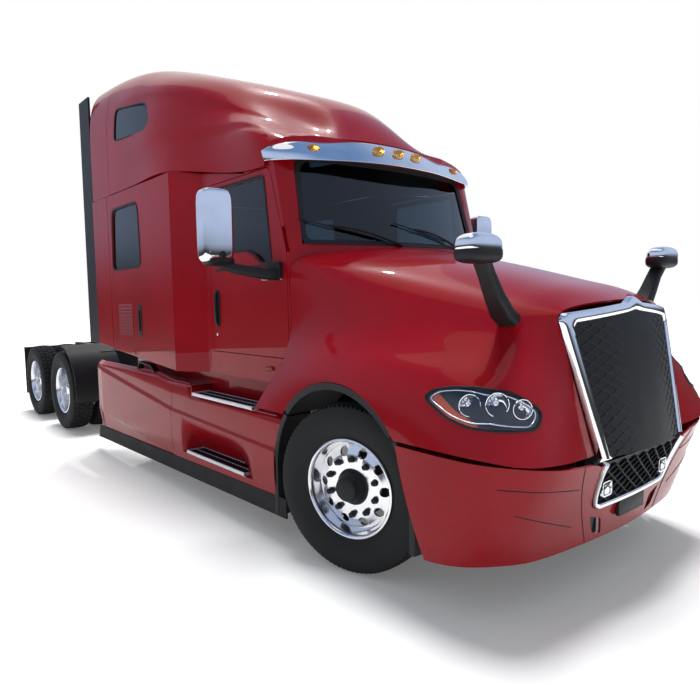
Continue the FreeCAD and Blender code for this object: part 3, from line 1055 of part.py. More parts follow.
pedestal = prism("pedestal", "YZ", [("coupling_y - 190", "rail_bottom_z + rail_height + 8"),
                                    ("coupling_y - 60", "coupling_z - coupling_plate - 50"),
                                    ("coupling_y + 60", "coupling_z - coupling_plate - 50"),
                                    ("coupling_y + 190", "rail_bottom_z + rail_height + 8")],
                 "rail_outer_x - 50", "50")
trunnion = cylinder("trunnion", "x", "22", "150", ("rail_outer_x - 95", "coupling_y", "coupling_z - coupling_plate - 65"))
base_plate = box("base_plate", ("-rail_outer_x", "rail_outer_x"), ("coupling_y - 300", "coupling_y + 300"),
                 (RAIL_TOP, f"{RAIL_TOP} + 8"))
base = fuse("coupling_base", pedestal, trunnion, mirrored("pedestal_mirror", pedestal),
            mirrored("trunnion_mirror", trunnion), base_plate)
part("fifth_wheel_base", base)
PLATE = [("-0.28 * coupling_width", "coupling_y - 330"), ("0.28 * coupling_width", "coupling_y - 330"),
         ("coupling_width / 2", "coupling_y - 120"), ("coupling_width / 2", "coupling_y + 260"),
         ("0.36 * coupling_width", "coupling_y + 560"), ("0.24 * coupling_width", "coupling_y + 600"),
         ("30", "coupling_y + 110"), ("-30", "coupling_y + 110"), ("-0.24 * coupling_width", "coupling_y + 600"),
         ("-0.36 * coupling_width", "coupling_y + 560"), ("-coupling_width / 2", "coupling_y + 260"),
         ("-coupling_width / 2", "coupling_y - 120")]
top_plate = prism("top_plate", "XY", PLATE, "coupling_z - coupling_plate / 2", "coupling_plate")
ear = box("coupling_ear", ("rail_outer_x - 24", "rail_outer_x + 10"), ("coupling_y - 60", "coupling_y + 60"),
          ("coupling_z - coupling_plate - 100", "coupling_z - coupling_plate"))
ear_bore = cylinder("coupling_ear_bore", "x", "22 + running_gap", "200",
                    ("rail_outer_x - 120", "coupling_y", "coupling_z - coupling_plate - 65"))
king_hole = cylinder("king_hole", "z", "kingpin_hole_radius", "200", ("0", "coupling_y", "coupling_z - 150"))
ears_both = fuse("coupling_ears", ear, mirrored("coupling_ear_mirror", ear))
bores_both = fuse("coupling_bores", ear_bore, mirrored("coupling_bore_mirror", ear_bore))
part("fifth_wheel", cut("fifth_wheel_cut", fuse("fifth_wheel_whole", top_plate, ears_both), bores_both, king_hole))

# Checks and export

doc.recompute()
failed = [o.Name for o in doc.Objects if "Invalid" in o.State or "Error" in o.State]
if failed:
    raise RuntimeError(f"failed objects: {failed}")
os.makedirs("parts", exist_ok=True)
for piece in PARTS:
    if piece.Shape.isNull() or not piece.Shape.isValid():
        raise RuntimeError(f"{piece.Label} has no valid shape")
    piece.Shape.exportStep(f"parts/{piece.Label}.step")
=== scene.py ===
"""Looks of a conventional 6x4 sleeper tractor unit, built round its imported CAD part.

Lengths are in metres.  Shapes are worked out in truck coordinates, whose origin lies under the
middle of the front axle: x to the truck's left, y to its rear, z up.  `AXLE` carries them into
the part's frame.
"""
from __future__ import annotations

import json
import logging
import math
from dataclasses import dataclass
from enum import Enum
from typing import Any, Sequence

import bmesh
import bpy
import numpy as np
from mathutils import Matrix, Vector

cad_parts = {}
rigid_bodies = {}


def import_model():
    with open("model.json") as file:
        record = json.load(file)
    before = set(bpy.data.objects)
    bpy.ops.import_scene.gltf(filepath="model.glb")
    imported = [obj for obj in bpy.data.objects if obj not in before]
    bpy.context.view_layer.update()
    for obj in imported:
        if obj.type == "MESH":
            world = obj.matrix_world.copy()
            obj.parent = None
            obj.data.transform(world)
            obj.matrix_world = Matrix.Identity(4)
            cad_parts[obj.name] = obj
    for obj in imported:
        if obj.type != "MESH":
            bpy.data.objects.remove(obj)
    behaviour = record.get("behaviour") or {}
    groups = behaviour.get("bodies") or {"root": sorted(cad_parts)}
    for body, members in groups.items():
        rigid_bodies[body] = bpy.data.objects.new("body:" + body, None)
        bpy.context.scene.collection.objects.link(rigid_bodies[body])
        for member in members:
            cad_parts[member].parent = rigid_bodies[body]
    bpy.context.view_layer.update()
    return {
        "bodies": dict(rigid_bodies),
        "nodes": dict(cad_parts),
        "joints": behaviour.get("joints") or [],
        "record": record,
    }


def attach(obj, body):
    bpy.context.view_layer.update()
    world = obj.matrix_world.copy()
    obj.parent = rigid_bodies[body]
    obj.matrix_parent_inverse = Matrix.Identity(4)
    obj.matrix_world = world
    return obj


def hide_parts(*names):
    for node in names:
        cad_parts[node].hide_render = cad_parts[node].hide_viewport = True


LOG = logging.getLogger("tractor_unit")
AXLE = np.array([0.0, -3.085, 0.0])
FIRST_DRIVE_Y = 5.452
SECOND_DRIVE_Y = 6.772
HUB_Z = 0.51
HALF_TRACK = 0.9
HOOD_PIVOT = (0.0, -1.1, 0.5)
DOOR_X = 1.03
OTHER_SIDE = np.array([-1.0, 1.0, 1.0])

Points = np.ndarray
Colour = tuple[float, float, float, float]
Triple = tuple[float, float, float]
Outline = tuple[tuple[float, float], ...]


class Side(Enum):
    """The two sides of the truck, by the sign of their x."""

    LEFT = 1.0
    RIGHT = -1.0

    @property
    def word(self) -> str:
        """Name that the CAD bodies and nodes use."""
        return self.name.lower()


class Wire:
    """A value in a shader; Python's operators on it add Math nodes."""

    def __init__(self, recipe: "Recipe", socket: Any) -> None:
        """Keep the socket and the recipe whose tree it belongs to."""
        self.recipe = recipe
        self.socket = socket

    def maths(self, operation: str, *others: Any) -> "Wire":
        """Add one Math node.

        Args:
            operation: The Math node's operation.
            others: Numbers or wires for its next inputs.

        Returns:
            The node's result.
        """
        return self.recipe.node("Math", {"operation": operation}, dict(enumerate((self, *others))))

    def __add__(self, other: Any) -> "Wire":
        """Sum."""
        return self.maths("ADD", other)

    __radd__ = __add__

    def __mul__(self, other: Any) -> "Wire":
        """Product."""
        return self.maths("MULTIPLY", other)

    __rmul__ = __mul__

    def __rsub__(self, other: float) -> "Wire":
        """Difference from a number."""
        return self * -1.0 + other

    def step(self, low: float, high: float) -> "Wire":
        """Smooth step from 0 at `low` to 1 at `high`."""
        return self.recipe.node("MapRange", {"interpolation_type": "SMOOTHSTEP"},
                                {"Value": self, "From Min": low, "From Max": high})


class Recipe:
    """Node tree of one material, or of the world, under construction."""

    def __init__(self, name: str, kind: str = "Material") -> None:
        """Make an empty material, or world, of that name."""
        self.kind = kind
        self.made = (bpy.data.materials if kind == "Material" else bpy.data.worlds).new(name)
        self.made.use_nodes = True
        self.tree = self.made.node_tree
        self.tree.nodes.clear()
        self.position = self.node("TexCoord", {}, {}, "Object")

    def node(self, kind: str, settings: dict[str, Any], inputs: dict[Any, Any], output: Any = 0) -> Wire:
        """Add any node.

        Args:
            kind: Node type without its ShaderNode prefix.
            settings: Properties set before the sockets.
            inputs: Values or wires by socket name or number.
            output: Name or number of the socket to return.

        Returns:
            The chosen output.
        """
        node = self.tree.nodes.new("ShaderNode" + kind)
        for key, value in settings.items():
            setattr(node, key, value)
        for key, value in inputs.items():
            socket = node.inputs[key]
            if isinstance(value, Wire):
                self.tree.links.new(value.socket, socket)
            else:
                socket.default_value = value
        return Wire(self, node.outputs[output])

    def noise(self, scale: float, detail: float = 3.0, roughness: float = 0.5) -> Wire:
        """Noise on Object coordinates, about 0.5 on the whole."""
        return self.node("TexNoise", {}, {"Vector": self.position, "Scale": scale, "Detail": detail,
                                          "Roughness": roughness}, "Fac")

    def axis(self, name: str) -> Wire:
        """One Object coordinate: X, Y or Z."""
        return self.node("SeparateXYZ", {}, {"Vector": self.position}, name)

    def mix(self, share: Any, one: Any, other: Any) -> Wire:
        """Colour between two colours."""
        return self.node("Mix", {"data_type": "RGBA"}, {0: share, 6: one, 7: other}, 2)

    def bump(self, height: Wire, distance: float, strength: float = 1.0) -> Wire:
        """Normal bent by a height."""
        return self.node("Bump", {}, {"Height": height, "Distance": distance, "Strength": strength},
                         "Normal")

    def close(self, **sockets: Any) -> bpy.types.Material:
        """Finish with a Principled shader.

        Args:
            sockets: Its sockets, spaces as underscores.

        Returns:
            The finished material.
        """
        values = {key.replace("_", " "): value for key, value in sockets.items()}
        return self.output(self.node("BsdfPrincipled", {}, values))

    def output(self, shader: Wire) -> bpy.types.Material | bpy.types.World:
        """Send a shader to the surface and return the material or the world."""
        target = self.tree.nodes.new("ShaderNodeOutput" + self.kind)
        self.tree.links.new(shader.socket, target.inputs["Surface"])
        return self.made


@dataclass(frozen=True)
class Lacquer:
    """Glossy body paint under a clear coat, with faint mottling and road dust low down."""

    colour: Colour = (0.30, 0.0035, 0.009, 1.0)
    deep: Colour = (0.22, 0.002, 0.006, 1.0)

    def build(self) -> bpy.types.Material:
        """Paint whose base varies a little and dulls towards the ground."""
        r = Recipe("red_lacquer")
        flakes = r.noise(900.0, 1.0)
        mottle = r.noise(1.7, 4.0, 0.6).step(0.3, 0.7)
        low = 1.0 - r.axis("Z").step(0.15, 1.1)
        dust = low * r.noise(7.0, 6.0, 0.65).step(0.45, 0.8) * 0.22
        base = r.mix(mottle * 0.5, self.colour, self.deep)
        dusty = r.mix(dust * 0.35, base, (0.32, 0.12, 0.09, 1.0))
        wave = r.noise(2.3, 2.0)
        return r.close(Base_Color=dusty, Metallic=0.0, Roughness=0.3 + flakes * 0.06 + dust,
                       Specular_IOR_Level=0.06, Coat_Weight=0.6, Coat_Roughness=0.015, Coat_IOR=1.33,
                       Normal=r.bump(wave, 0.0012, 0.5))


@dataclass(frozen=True)
class Metal:
    """Bare or plated metal with fine wear."""

    name: str
    colour: Colour
    roughness: float = 0.08
    wear: float = 0.05
    grain: float = 40.0
    depth: float = 0.0

    def build(self) -> bpy.types.Material:
        """Metal whose roughness and tint vary with noise."""
        r = Recipe(self.name)
        smear = r.noise(self.grain, 5.0, 0.6)
        dark = tuple(c * 0.82 for c in self.colour[:3]) + (1.0,)
        tint = r.mix(r.noise(6.0, 4.0).step(0.35, 0.75) * 0.5, self.colour, dark)
        normal = r.bump(r.noise(self.grain * 6.0, 2.0), 0.0006, self.depth)
        return r.close(Base_Color=tint, Metallic=1.0, Roughness=self.roughness + smear * self.wear,
                       Normal=normal)


@dataclass(frozen=True)
class Moulding:
    """Moulded plastic, rubber or satin coating with a fine leathery grain."""

    name: str
    colour: Colour
    roughness: float = 0.5
    grain: float = 260.0
    depth: float = 0.0006
    dust: float = 0.25

    def build(self) -> bpy.types.Material:
        """Dielectric with grain, blotches and a little dust low down."""
        r = Recipe(self.name)
        grain = r.node("TexVoronoi", {"feature": "SMOOTH_F1"},
                       {"Vector": r.position, "Scale": self.grain}, "Distance")
        blotch = r.noise(9.0, 5.0, 0.6)
        low = 1.0 - r.axis("Z").step(0.1, 1.0)
        dust = low * blotch.step(0.4, 0.75) * self.dust
        pale = tuple(min(1.0, c * 1.4 + 0.008) for c in self.colour[:3]) + (1.0,)
        tint = r.mix(blotch * 0.35 + dust, self.colour, pale)
        return r.close(Base_Color=tint, Metallic=0.0, Roughness=self.roughness + blotch * 0.12 + dust * 0.3,
                       Specular_IOR_Level=0.28, Normal=r.bump(grain, self.depth, 0.6))


@dataclass(frozen=True)
class Glass:
    """Clear or tinted glass or lens plastic."""

    name: str
    colour: Colour
    roughness: float = 0.0
    ribs: float = 0.0

    def build(self) -> bpy.types.Material:
        """Glass with a faint film of dust and, for lenses, moulded ribs."""
        r = Recipe(self.name)
        film = r.noise(14.0, 5.0, 0.6).step(0.45, 0.9) * 0.04
        ribs = r.node("TexWave", {"bands_direction": "X"}, {"Vector": r.position, "Scale": 90.0}, "Fac")
        return r.close(Base_Color=self.colour, Roughness=film + self.roughness, IOR=1.45,
                       Transmission_Weight=1.0, Normal=r.bump(ribs, 0.001, self.ribs))


@dataclass(frozen=True)
class Cloth:
    """Woven upholstery."""

    name: str
    colour: Colour

    def build(self) -> bpy.types.Material:
        """Crossed threads in colour and relief."""
        r = Recipe(self.name)
        waves = [r.node("TexWave", {"bands_direction": way}, {"Vector": r.position, "Scale": 220.0}, "Fac")
                 for way in ("X", "Z")]
        weave = waves[0] * waves[1]
        pale = tuple(c * 1.8 for c in self.colour[:3]) + (1.0,)
        return r.close(Base_Color=r.mix(weave * 0.6 + r.noise(12.0) * 0.3, self.colour, pale),
                       Roughness=0.9, Sheen_Weight=0.3, Normal=r.bump(weave, 0.0008, 0.8))


class Palette:
    """Every finish of the truck, made once when first asked for."""

    RECIPES: dict[str, Any] = {
        "red_paint": Lacquer(),
        "chrome": Metal("bright_chrome", (0.86, 0.87, 0.89, 1.0), 0.035, 0.05),
        "polished_aluminium": Metal("polished_wheel_aluminium", (0.8, 0.8, 0.82, 1.0), 0.13, 0.1, 60.0,
                                    0.1),
        "aluminium": Metal("brushed_aluminium", (0.72, 0.73, 0.75, 1.0), 0.45, 0.15, 90.0, 0.3),
        "cast_iron": Metal("cast_iron", (0.1, 0.1, 0.1, 1.0), 0.6, 0.2, 120.0, 0.8),
        "black_steel": Moulding("black_chassis_paint", (0.008, 0.008, 0.009, 1.0), 0.38, 120.0, 0.0004,
                                0.5),
        "rubber": Moulding("skirt_rubber", (0.009, 0.009, 0.009, 1.0), 0.6, 180.0, 0.0005, 0.4),
        "tyre": Moulding("tyre_rubber", (0.011, 0.011, 0.011, 1.0), 0.66, 240.0, 0.0006, 0.5),
        "black_plastic": Moulding("grained_black_plastic", (0.008, 0.008, 0.009, 1.0), 0.42, 320.0,
                                  0.0005, 0.2),
        "wheel_rim_plastic": Moulding("steering_wheel_cover", (0.02, 0.02, 0.02, 1.0), 0.45, 420.0,
                                      0.0006, 0.0),
        "tinted_glass": Glass("tinted_window_glass", (0.10, 0.15, 0.19, 1.0)),
        "lamp_glass": Glass("clear_lamp_cover", (0.97, 0.98, 1.0, 1.0)),
        "amber": Glass("amber_lens", (1.0, 0.32, 0.02, 1.0), 0.12, 0.6),
        "red_lens": Glass("red_lens", (0.8, 0.02, 0.02, 1.0), 0.12, 0.6),
        "fabric": Cloth("seat_weave", (0.05, 0.05, 0.055, 1.0)),
    }

    def __init__(self) -> None:
        """Start with nothing made."""
        self.made: dict[str, bpy.types.Material] = {}

    def __getitem__(self, slot: str) -> bpy.types.Material:
        """Material of a finish, by the record's slot name."""
        if slot not in self.made:
            self.made[slot] = self.RECIPES[slot].build()
        return self.made[slot]


class Shell:
    """Points and faces gathered for one piece, in truck coordinates."""

    def __init__(self) -> None:
        """Start empty."""
        self.points: list[Points] = []
        self.faces: list[list[int]] = []
        self.count = 0

    def add(self, points: Points, faces: Points | list[list[int]]) -> "Shell":
        """Add points and the faces that index them."""
        self.points.append(points.reshape(-1, 3))
        rows = faces.tolist() if isinstance(faces, np.ndarray) else faces
        self.faces.extend([[i + self.count for i in row] for row in rows])
        self.count += len(self.points[-1])
        return self

    def grid(self, points: Points, wrap_u: bool = False, wrap_v: bool = False,
             flip: bool = False) -> "Shell":
        """Add a grid of points as quads.

        Args:
            points: Array of shape (u, v, 3).
            wrap_u: Whether the last row joins the first.
            wrap_v: Whether the last column joins the first.
            flip: Whether the faces point the other way.

        Returns:
            This shell.
        """
        index = np.arange(points.shape[0] * points.shape[1]).reshape(points.shape[:2])
        if wrap_u:
            index = np.vstack([index, index[:1]])
        if wrap_v:
            index = np.hstack([index, index[:, :1]])
        quads = np.stack([index[:-1, :-1], index[1:, :-1], index[1:, 1:], index[:-1, 1:]],
                         -1).reshape(-1, 4)
        return self.add(points, quads[:, ::-1] if flip else quads)

    @property
    def cloud(self) -> Points:
        """All its points, shape (n, 3)."""
        return np.concatenate(self.points)

    def loft(self, rings: Points) -> "Shell":
        """Add closed rings joined in order, with flat ends."""
        self.grid(rings, wrap_v=True)
        first = self.count - rings.shape[0] * rings.shape[1]
        last = self.count - rings.shape[1]
        self.faces.append(list(range(first, first + rings.shape[1])))
        self.faces.append(list(range(last, self.count))[::-1])
        return self

    def mirrored(self, target: "Shell") -> "Shell":
        """Add this shape's mirror image to another shell, or to this one."""
        return target.add(self.cloud * OTHER_SIDE, [row[::-1] for row in self.faces])

    def doubled(self) -> "Shell":
        """Add the same shape on the truck's other side."""
        return self.mirrored(self)

    def on(self, side: Side) -> "Shell":
        """This shell, made for the left, or its mirror image."""
        return self if side is Side.LEFT else self.mirrored(Shell())

    def mesh(self, name: str) -> bpy.types.Object:
        """Make the mesh object in the part's frame, without a body yet."""
        data = bpy.data.meshes.new(name)
        data.from_pydata((self.cloud + AXLE).tolist(), [], self.faces)
        data.validate()
        made = bpy.data.objects.new(name, data)
        bpy.context.scene.collection.objects.link(made)
        return made


class Workshop:
    """Finishes pieces: outward faces, thickness, edges, material and body."""

    WELD = 1e-5
    NODE_EDGE_DEGREES = 35.0

    def __init__(self, frame: dict[str, Any]) -> None:
        """Keep the loaded frame and an empty palette."""
        self.frame = frame
        self.palette = Palette()

    @staticmethod
    def settle(made: bpy.types.Object) -> bpy.types.Object:
        """Turn a mesh's modifiers into its own points and faces."""
        graph = bpy.context.evaluated_depsgraph_get()
        data = bpy.data.meshes.new_from_object(made.evaluated_get(graph))
        old, name = made.data, made.data.name
        made.modifiers.clear()
        made.data = data
        bpy.data.meshes.remove(old)
        data.name = name
        return made

    def outward(self, made: bpy.types.Object) -> bpy.types.Object:
        """Merge doubles and point all the faces of a closed mesh outwards."""
        work = bmesh.new()
        work.from_mesh(made.data)
        bmesh.ops.remove_doubles(work, verts=work.verts, dist=self.WELD)
        bmesh.ops.recalc_face_normals(work, faces=work.faces)
        work.to_mesh(made.data)
        work.free()
        return made

    def thicken(self, made: bpy.types.Object, thickness: float) -> bpy.types.Object:
        """Give a sheet its wall, inwards."""
        solid = made.modifiers.new("wall", "SOLIDIFY")
        solid.thickness, solid.offset, solid.use_even_offset = thickness, -1.0, True
        return self.settle(made)

    def soften(self, made: bpy.types.Object, width: float, segments: int = 2,
               angle: float = 32.0) -> bpy.types.Object:
        """Round a mesh's sharp edges."""
        bevel = made.modifiers.new("edges", "BEVEL")
        bevel.width, bevel.segments, bevel.limit_method = width, segments, "ANGLE"
        bevel.angle_limit, bevel.miter_outer = math.radians(angle), "MITER_ARC"
        return self.settle(made)

    def carve(self, made: bpy.types.Object, cutter: Shell,
              operation: str = "DIFFERENCE") -> bpy.types.Object:
        """Cut one closed shell out of a piece, or keep only what lies in it."""
        tool = self.outward(cutter.mesh("cutter"))
        change = made.modifiers.new("cut", "BOOLEAN")
        change.operation, change.object, change.solver = operation, tool, "EXACT"
        self.settle(made)
        bpy.data.objects.remove(tool)
        return made

    def finish(self, made: bpy.types.Object, slot: str, body: str, replaces: Sequence[str] = (),
               sharp: float = 32.0) -> bpy.types.Object:
        """Shade a piece, dress it and hand it to its body.

        Args:
            made: The piece, in place.
            slot: Finish and material slot.
            body: CAD body that carries it.
            replaces: CAD nodes that it stands for.
            sharp: Angle in degrees from which an edge stays sharp.

        Returns:
            The piece.
        """
        made.data.materials.clear()
        made.data.materials.append(self.palette[slot])
        made.data.shade_smooth()
        made.data.set_sharp_from_angle(angle=math.radians(sharp))
        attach(made, body)
        if replaces:
            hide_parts(*replaces)
        LOG.info("%s: %d faces on %s", made.name, len(made.data.polygons), body)
        return made

    def stand(self, name: str, shell: Shell, slot: str, body: str = "chassis", replaces: Sequence[str] = (),
              sharp: float = 40.0) -> bpy.types.Object:
        """Mesh a closed shell, point its faces outwards and finish it, as `finish` does."""
        return self.finish(self.outward(shell.mesh(name)), slot, body, replaces, sharp)

    def dress_node(self, name: str, slot: str, width: float = 0.0) -> None:
        """Give a carried-over CAD node its finish and, if asked, rounded edges."""
        node = self.frame["nodes"][name]
        node.data.materials.clear()
        node.data.materials.append(self.palette[slot])
        if width:
            weld = node.modifiers.new("joined", "WELD")
            weld.merge_threshold = self.WELD
            bevel = node.modifiers.new("edges", "BEVEL")
            bevel.width, bevel.segments, bevel.limit_method = width, 2, "ANGLE"
            bevel.angle_limit, bevel.harden_normals = math.radians(self.NODE_EDGE_DEGREES), True
        LOG.info("node %s takes %s", name, slot)


@dataclass
class Studio:
    """Pale floor, dark side of the room behind the camera, soft light, and the photograph's viewpoint."""

    floor_size: float = 60.0
    key_strength: float = 2.7
    spark_strength: float = 0.5
    sky_strength: float = 0.42
    room_radius: float = 15.0
    room_height: float = 50.0
    viewpoint: Triple = (-3.428, -2.673, 1.641)
    yaw: float = 38.06
    pitch: float = -4.85
    roll: float = -1.31
    lens: float = 31.03
    shift: tuple[float, float] = (0.0543, -0.0026)
    sensor: float = 36.0

    def build(self) -> None:
        """Make the floor, the room, the world, the suns and the camera."""
        bpy.context.scene.view_settings.view_transform = "Standard"
        self.build_floor()
        self.build_room()
        self.build_world()
        self.build_suns()
        self.build_camera()

    @staticmethod
    def seen(recipe: Recipe) -> Wire:
        """One for camera, glossy and transmission rays, which see the background, and else nothing."""
        rays = [recipe.node("LightPath", {}, {}, f"Is {kind} Ray")
                for kind in ("Camera", "Glossy", "Transmission")]
        return rays[0].maths("MAXIMUM", rays[1]).maths("MAXIMUM", rays[2])

    def build_floor(self) -> None:
        """Lay a pale sheet that keeps the shadow, and is lifted to white where it is seen."""
        half = self.floor_size
        corners = np.array([[-half, -half, 0.0], [half, -half, 0.0], [half, half, 0.0], [-half, half, 0.0]])
        floor = Shell().add(corners, [[0, 1, 2, 3]]).mesh("studio_floor")
        r = Recipe("pale_floor")
        pale = r.mix(r.noise(0.6, 4.0), (0.9, 0.9, 0.9, 1.0), (0.93, 0.93, 0.93, 1.0))
        sheet = r.node("BsdfDiffuse", {}, {"Color": pale})
        lifted = r.node("AddShader", {},
                        {0: sheet, 1: r.node("Emission", {}, {"Strength": self.seen(r) * 0.12})})
        floor.data.materials.append(r.output(lifted))

    def build_room(self) -> None:
        """Stand a round wall behind the camera: paint and chrome reflect its dark foot and blue top."""
        turn = np.radians(np.linspace(60.0, 352.0, 91))[:, None]
        height = np.linspace(0.0, self.room_height, 8)[None, :]
        radius = self.room_radius
        wall = np.stack([radius * np.sin(turn) + 0 * height, 2.5 + radius * np.cos(turn) + 0 * height,
                         height + 0 * turn], -1)
        room = Shell().grid(wall).mesh("studio_room")
        r = Recipe("dark_room")
        haze = r.mix(r.axis("Z").step(1.4, 4.2), (0.05, 0.05, 0.047, 1.0), (0.50, 0.60, 0.82, 1.0))
        tone = r.mix(r.axis("Z").step(8.0, 30.0), haze, (0.16, 0.27, 0.50, 1.0))
        room.data.materials.append(r.output(r.node("Emission", {}, {"Color": tone})))
        room.visible_camera = room.visible_diffuse = room.visible_shadow = False

    def build_world(self) -> None:
        """Sky that is white where it is seen and dimmer, slightly blue, where it lights."""
        r = Recipe("studio_sky", "World")
        light = r.node("Background", {}, {"Color": (0.88, 0.94, 1.0, 1.0), "Strength": self.sky_strength})
        white = r.node("Background", {}, {"Color": (1.0, 1.0, 1.0, 1.0)})
        bpy.context.scene.world = r.output(r.node("MixShader", {}, {0: self.seen(r), 1: light, 2: white}))

    def build_suns(self) -> None:
        """Hang a broad sun high over the truck's far rear, and a small one for glints in the paint."""
        for name, strength, angle, way in (("key_sun", self.key_strength, 20.0, (-0.13, -0.145, -0.97)),
                                           ("spark_sun", self.spark_strength, 1.2, (-0.35, -0.39, -0.84))):
            sun = bpy.data.lights.new(name, "SUN")
            sun.energy, sun.angle = strength, math.radians(angle)
            lamp = bpy.data.objects.new(name, sun)
            lamp.rotation_euler = Vector(way).to_track_quat("-Z", "Y").to_euler()
            lamp.visible_glossy = name == "spark_sun"
            bpy.context.scene.collection.objects.link(lamp)

    def build_camera(self) -> None:
        """Set the camera by yaw, pitch and roll."""
        yaw, pitch, roll = (math.radians(a) for a in (self.yaw, self.pitch, self.roll))
        ahead = Vector((math.sin(yaw) * math.cos(pitch), math.cos(yaw) * math.cos(pitch), math.sin(pitch)))
        right = Vector((math.cos(yaw), -math.sin(yaw), 0.0))
        up = right.cross(ahead)
        c, d = math.cos(roll), math.sin(roll)
        right, up = right * c + up * d, up * c - right * d
        data = bpy.data.cameras.new("camera")
        data.lens, data.sensor_width = self.lens, self.sensor
        data.shift_x, data.shift_y = self.shift
        camera = bpy.data.objects.new("camera", data)
        camera.matrix_world = (Matrix.Translation(Vector(self.viewpoint) + Vector(AXLE))
                               @ Matrix((right, up, -ahead)).transposed().to_4x4())
        bpy.context.scene.collection.objects.link(camera)
        bpy.context.scene.camera = camera


@dataclass(frozen=True)
class Net:
    """Clamped cubic spline surface drawn on to a net of points, in millimetres.

    Rows run across the truck and columns along it.  The poles start at the net and move three
    times by what the surface still misses it by, which leaves no overshoot.
    """

    rows: tuple[tuple[Triple, ...], ...]

    def target(self) -> Points:
        """Net in metres, continued to the truck's right."""
        half = np.array(self.rows) / 1000.0
        return np.concatenate([half[:0:-1] * OTHER_SIDE, half])

    @staticmethod
    def knots(count: int) -> Points:
        """Knots of a clamped cubic spline with that many poles."""
        return np.concatenate([[0.0] * 3, np.arange(count - 2), [count - 3.0] * 3])

    def basis(self, count: int, at: Points) -> Points:
        """Clamped cubic basis by the Cox and de Boor recursion, one row for each parameter."""
        knots = self.knots(count)
        at = np.clip(at, 0.0, count - 3.0 - 1e-9)[:, None]
        values = ((knots[None, :-1] <= at) & (at < knots[None, 1:])).astype(float)
        for degree in range(1, 4):
            left = knots[None, degree:-1] - knots[None, :-degree - 1]
            right = knots[None, degree + 1:] - knots[None, 1:-degree]
            empty = np.zeros((len(at), left.shape[1]))
            low = np.divide(at - knots[None, :-degree - 1], left, out=empty.copy(), where=left > 0)
            high = np.divide(knots[None, degree + 1:] - at, right, out=empty, where=right > 0)
            values = low * values[:, :-1] + high * values[:, 1:]
        return values

    def sample(self, across: int, along: int, offset: float = 0.0) -> Points:
        """Points of the surface on an even grid of its parameters.

        Args:
            across: Number of points over the rows.
            along: Number of points over the columns.
            offset: Distance outwards along the normals.

        Returns:
            Array of shape (across, along, 3).
        """
        target = self.target()
        counts = target.shape[:2]
        means = [np.array([self.knots(n)[i + 1:i + 4].mean() for i in range(n)]) for n in counts]
        own = [self.basis(n, mean) for n, mean in zip(counts, means)]
        poles = target.copy()
        for _ in range(3):
            poles += target - np.einsum("ai,ijk,bj->abk", own[0], poles, own[1])
        grids = [self.basis(n, np.linspace(0.0, n - 3.0, m)) for n, m in zip(counts, (across, along))]
        points = np.einsum("ai,ijk,bj->abk", grids[0], poles, grids[1])
        return points + normals(points) * offset if offset else points


def normals(points: Points) -> Points:
    """Unit normals of a grid: the cross product of its two directions of travel."""
    cross = np.cross(np.gradient(points, axis=0), np.gradient(points, axis=1))
    return cross / np.maximum(np.linalg.norm(cross, axis=-1, keepdims=True), 1e-12)


def slab(outer: Points, inner: Points) -> Shell:
    """Closed solid between two grids of the same shape."""
    shell = Shell().grid(outer).grid(inner, flip=True)
    rows, columns = outer.shape[:2]
    index = np.arange(rows * columns).reshape(rows, columns)
    edge = np.concatenate([index[0, :-1], index[:-1, -1], index[-1, :0:-1], index[:0:-1, 0]])
    after = np.roll(edge, -1)
    shell.faces.extend(np.stack([edge, after, after + rows * columns, edge + rows * columns], -1).tolist())
    return shell


def rounded(corners: Sequence[tuple[float, float]], radius: float, steps: int = 5) -> Points:
    """Closed outline with each corner replaced by a quadratic curve that starts `radius` before it."""
    points = np.array(corners, float)
    before, after = np.roll(points, 1, 0) - points, np.roll(points, -1, 0) - points
    reach = [np.minimum(radius, 0.45 * np.linalg.norm(way, axis=1))[:, None] for way in (before, after)]
    start = points + before / np.linalg.norm(before, axis=1, keepdims=True) * reach[0]
    end = points + after / np.linalg.norm(after, axis=1, keepdims=True) * reach[1]
    t = np.linspace(0.0, 1.0, steps)[None, :, None]
    curve = start[:, None] * (1 - t) ** 2 + points[:, None] * 2 * t * (1 - t) + end[:, None] * t ** 2
    return curve.reshape(-1, 2)


def rectangle(low: Sequence[float], high: Sequence[float], radius: float, steps: int = 5) -> Points:
    """Rounded rectangle between two corners."""
    (a, c), (b, d) = low, high
    return rounded([(a, c), (b, c), (b, d), (a, d)], radius, steps)


def oblong(half_width: float, half_height: float, radius: float, steps: int = 5) -> Points:
    """Rounded rectangle about the origin: a section to sweep."""
    return rectangle((-half_width, -half_height), (half_width, half_height), radius, steps)


def prism(outline: Points, axis: int, low: float, high: float) -> Shell:
    """Closed prism: an outline in the plane across `axis`, from `low` to `high`."""
    rings = np.insert(np.stack([outline, outline]), axis, 0.0, axis=2)
    rings[0, :, axis], rings[1, :, axis] = low, high
    return Shell().loft(rings)


def lathe(profile: Sequence[tuple[float, float]], steps: int, closed: bool = True) -> Shell:
    """Profile of (x, radius) turned about the x axis."""
    line = np.array(profile, float)
    turn = np.linspace(0.0, 2 * np.pi, steps, endpoint=False)[:, None]
    ones = np.ones_like(turn)
    points = np.stack([ones * line[:, 0], np.cos(turn) * line[:, 1], np.sin(turn) * line[:, 1]], -1)
    return Shell().grid(points, wrap_u=True, wrap_v=closed)


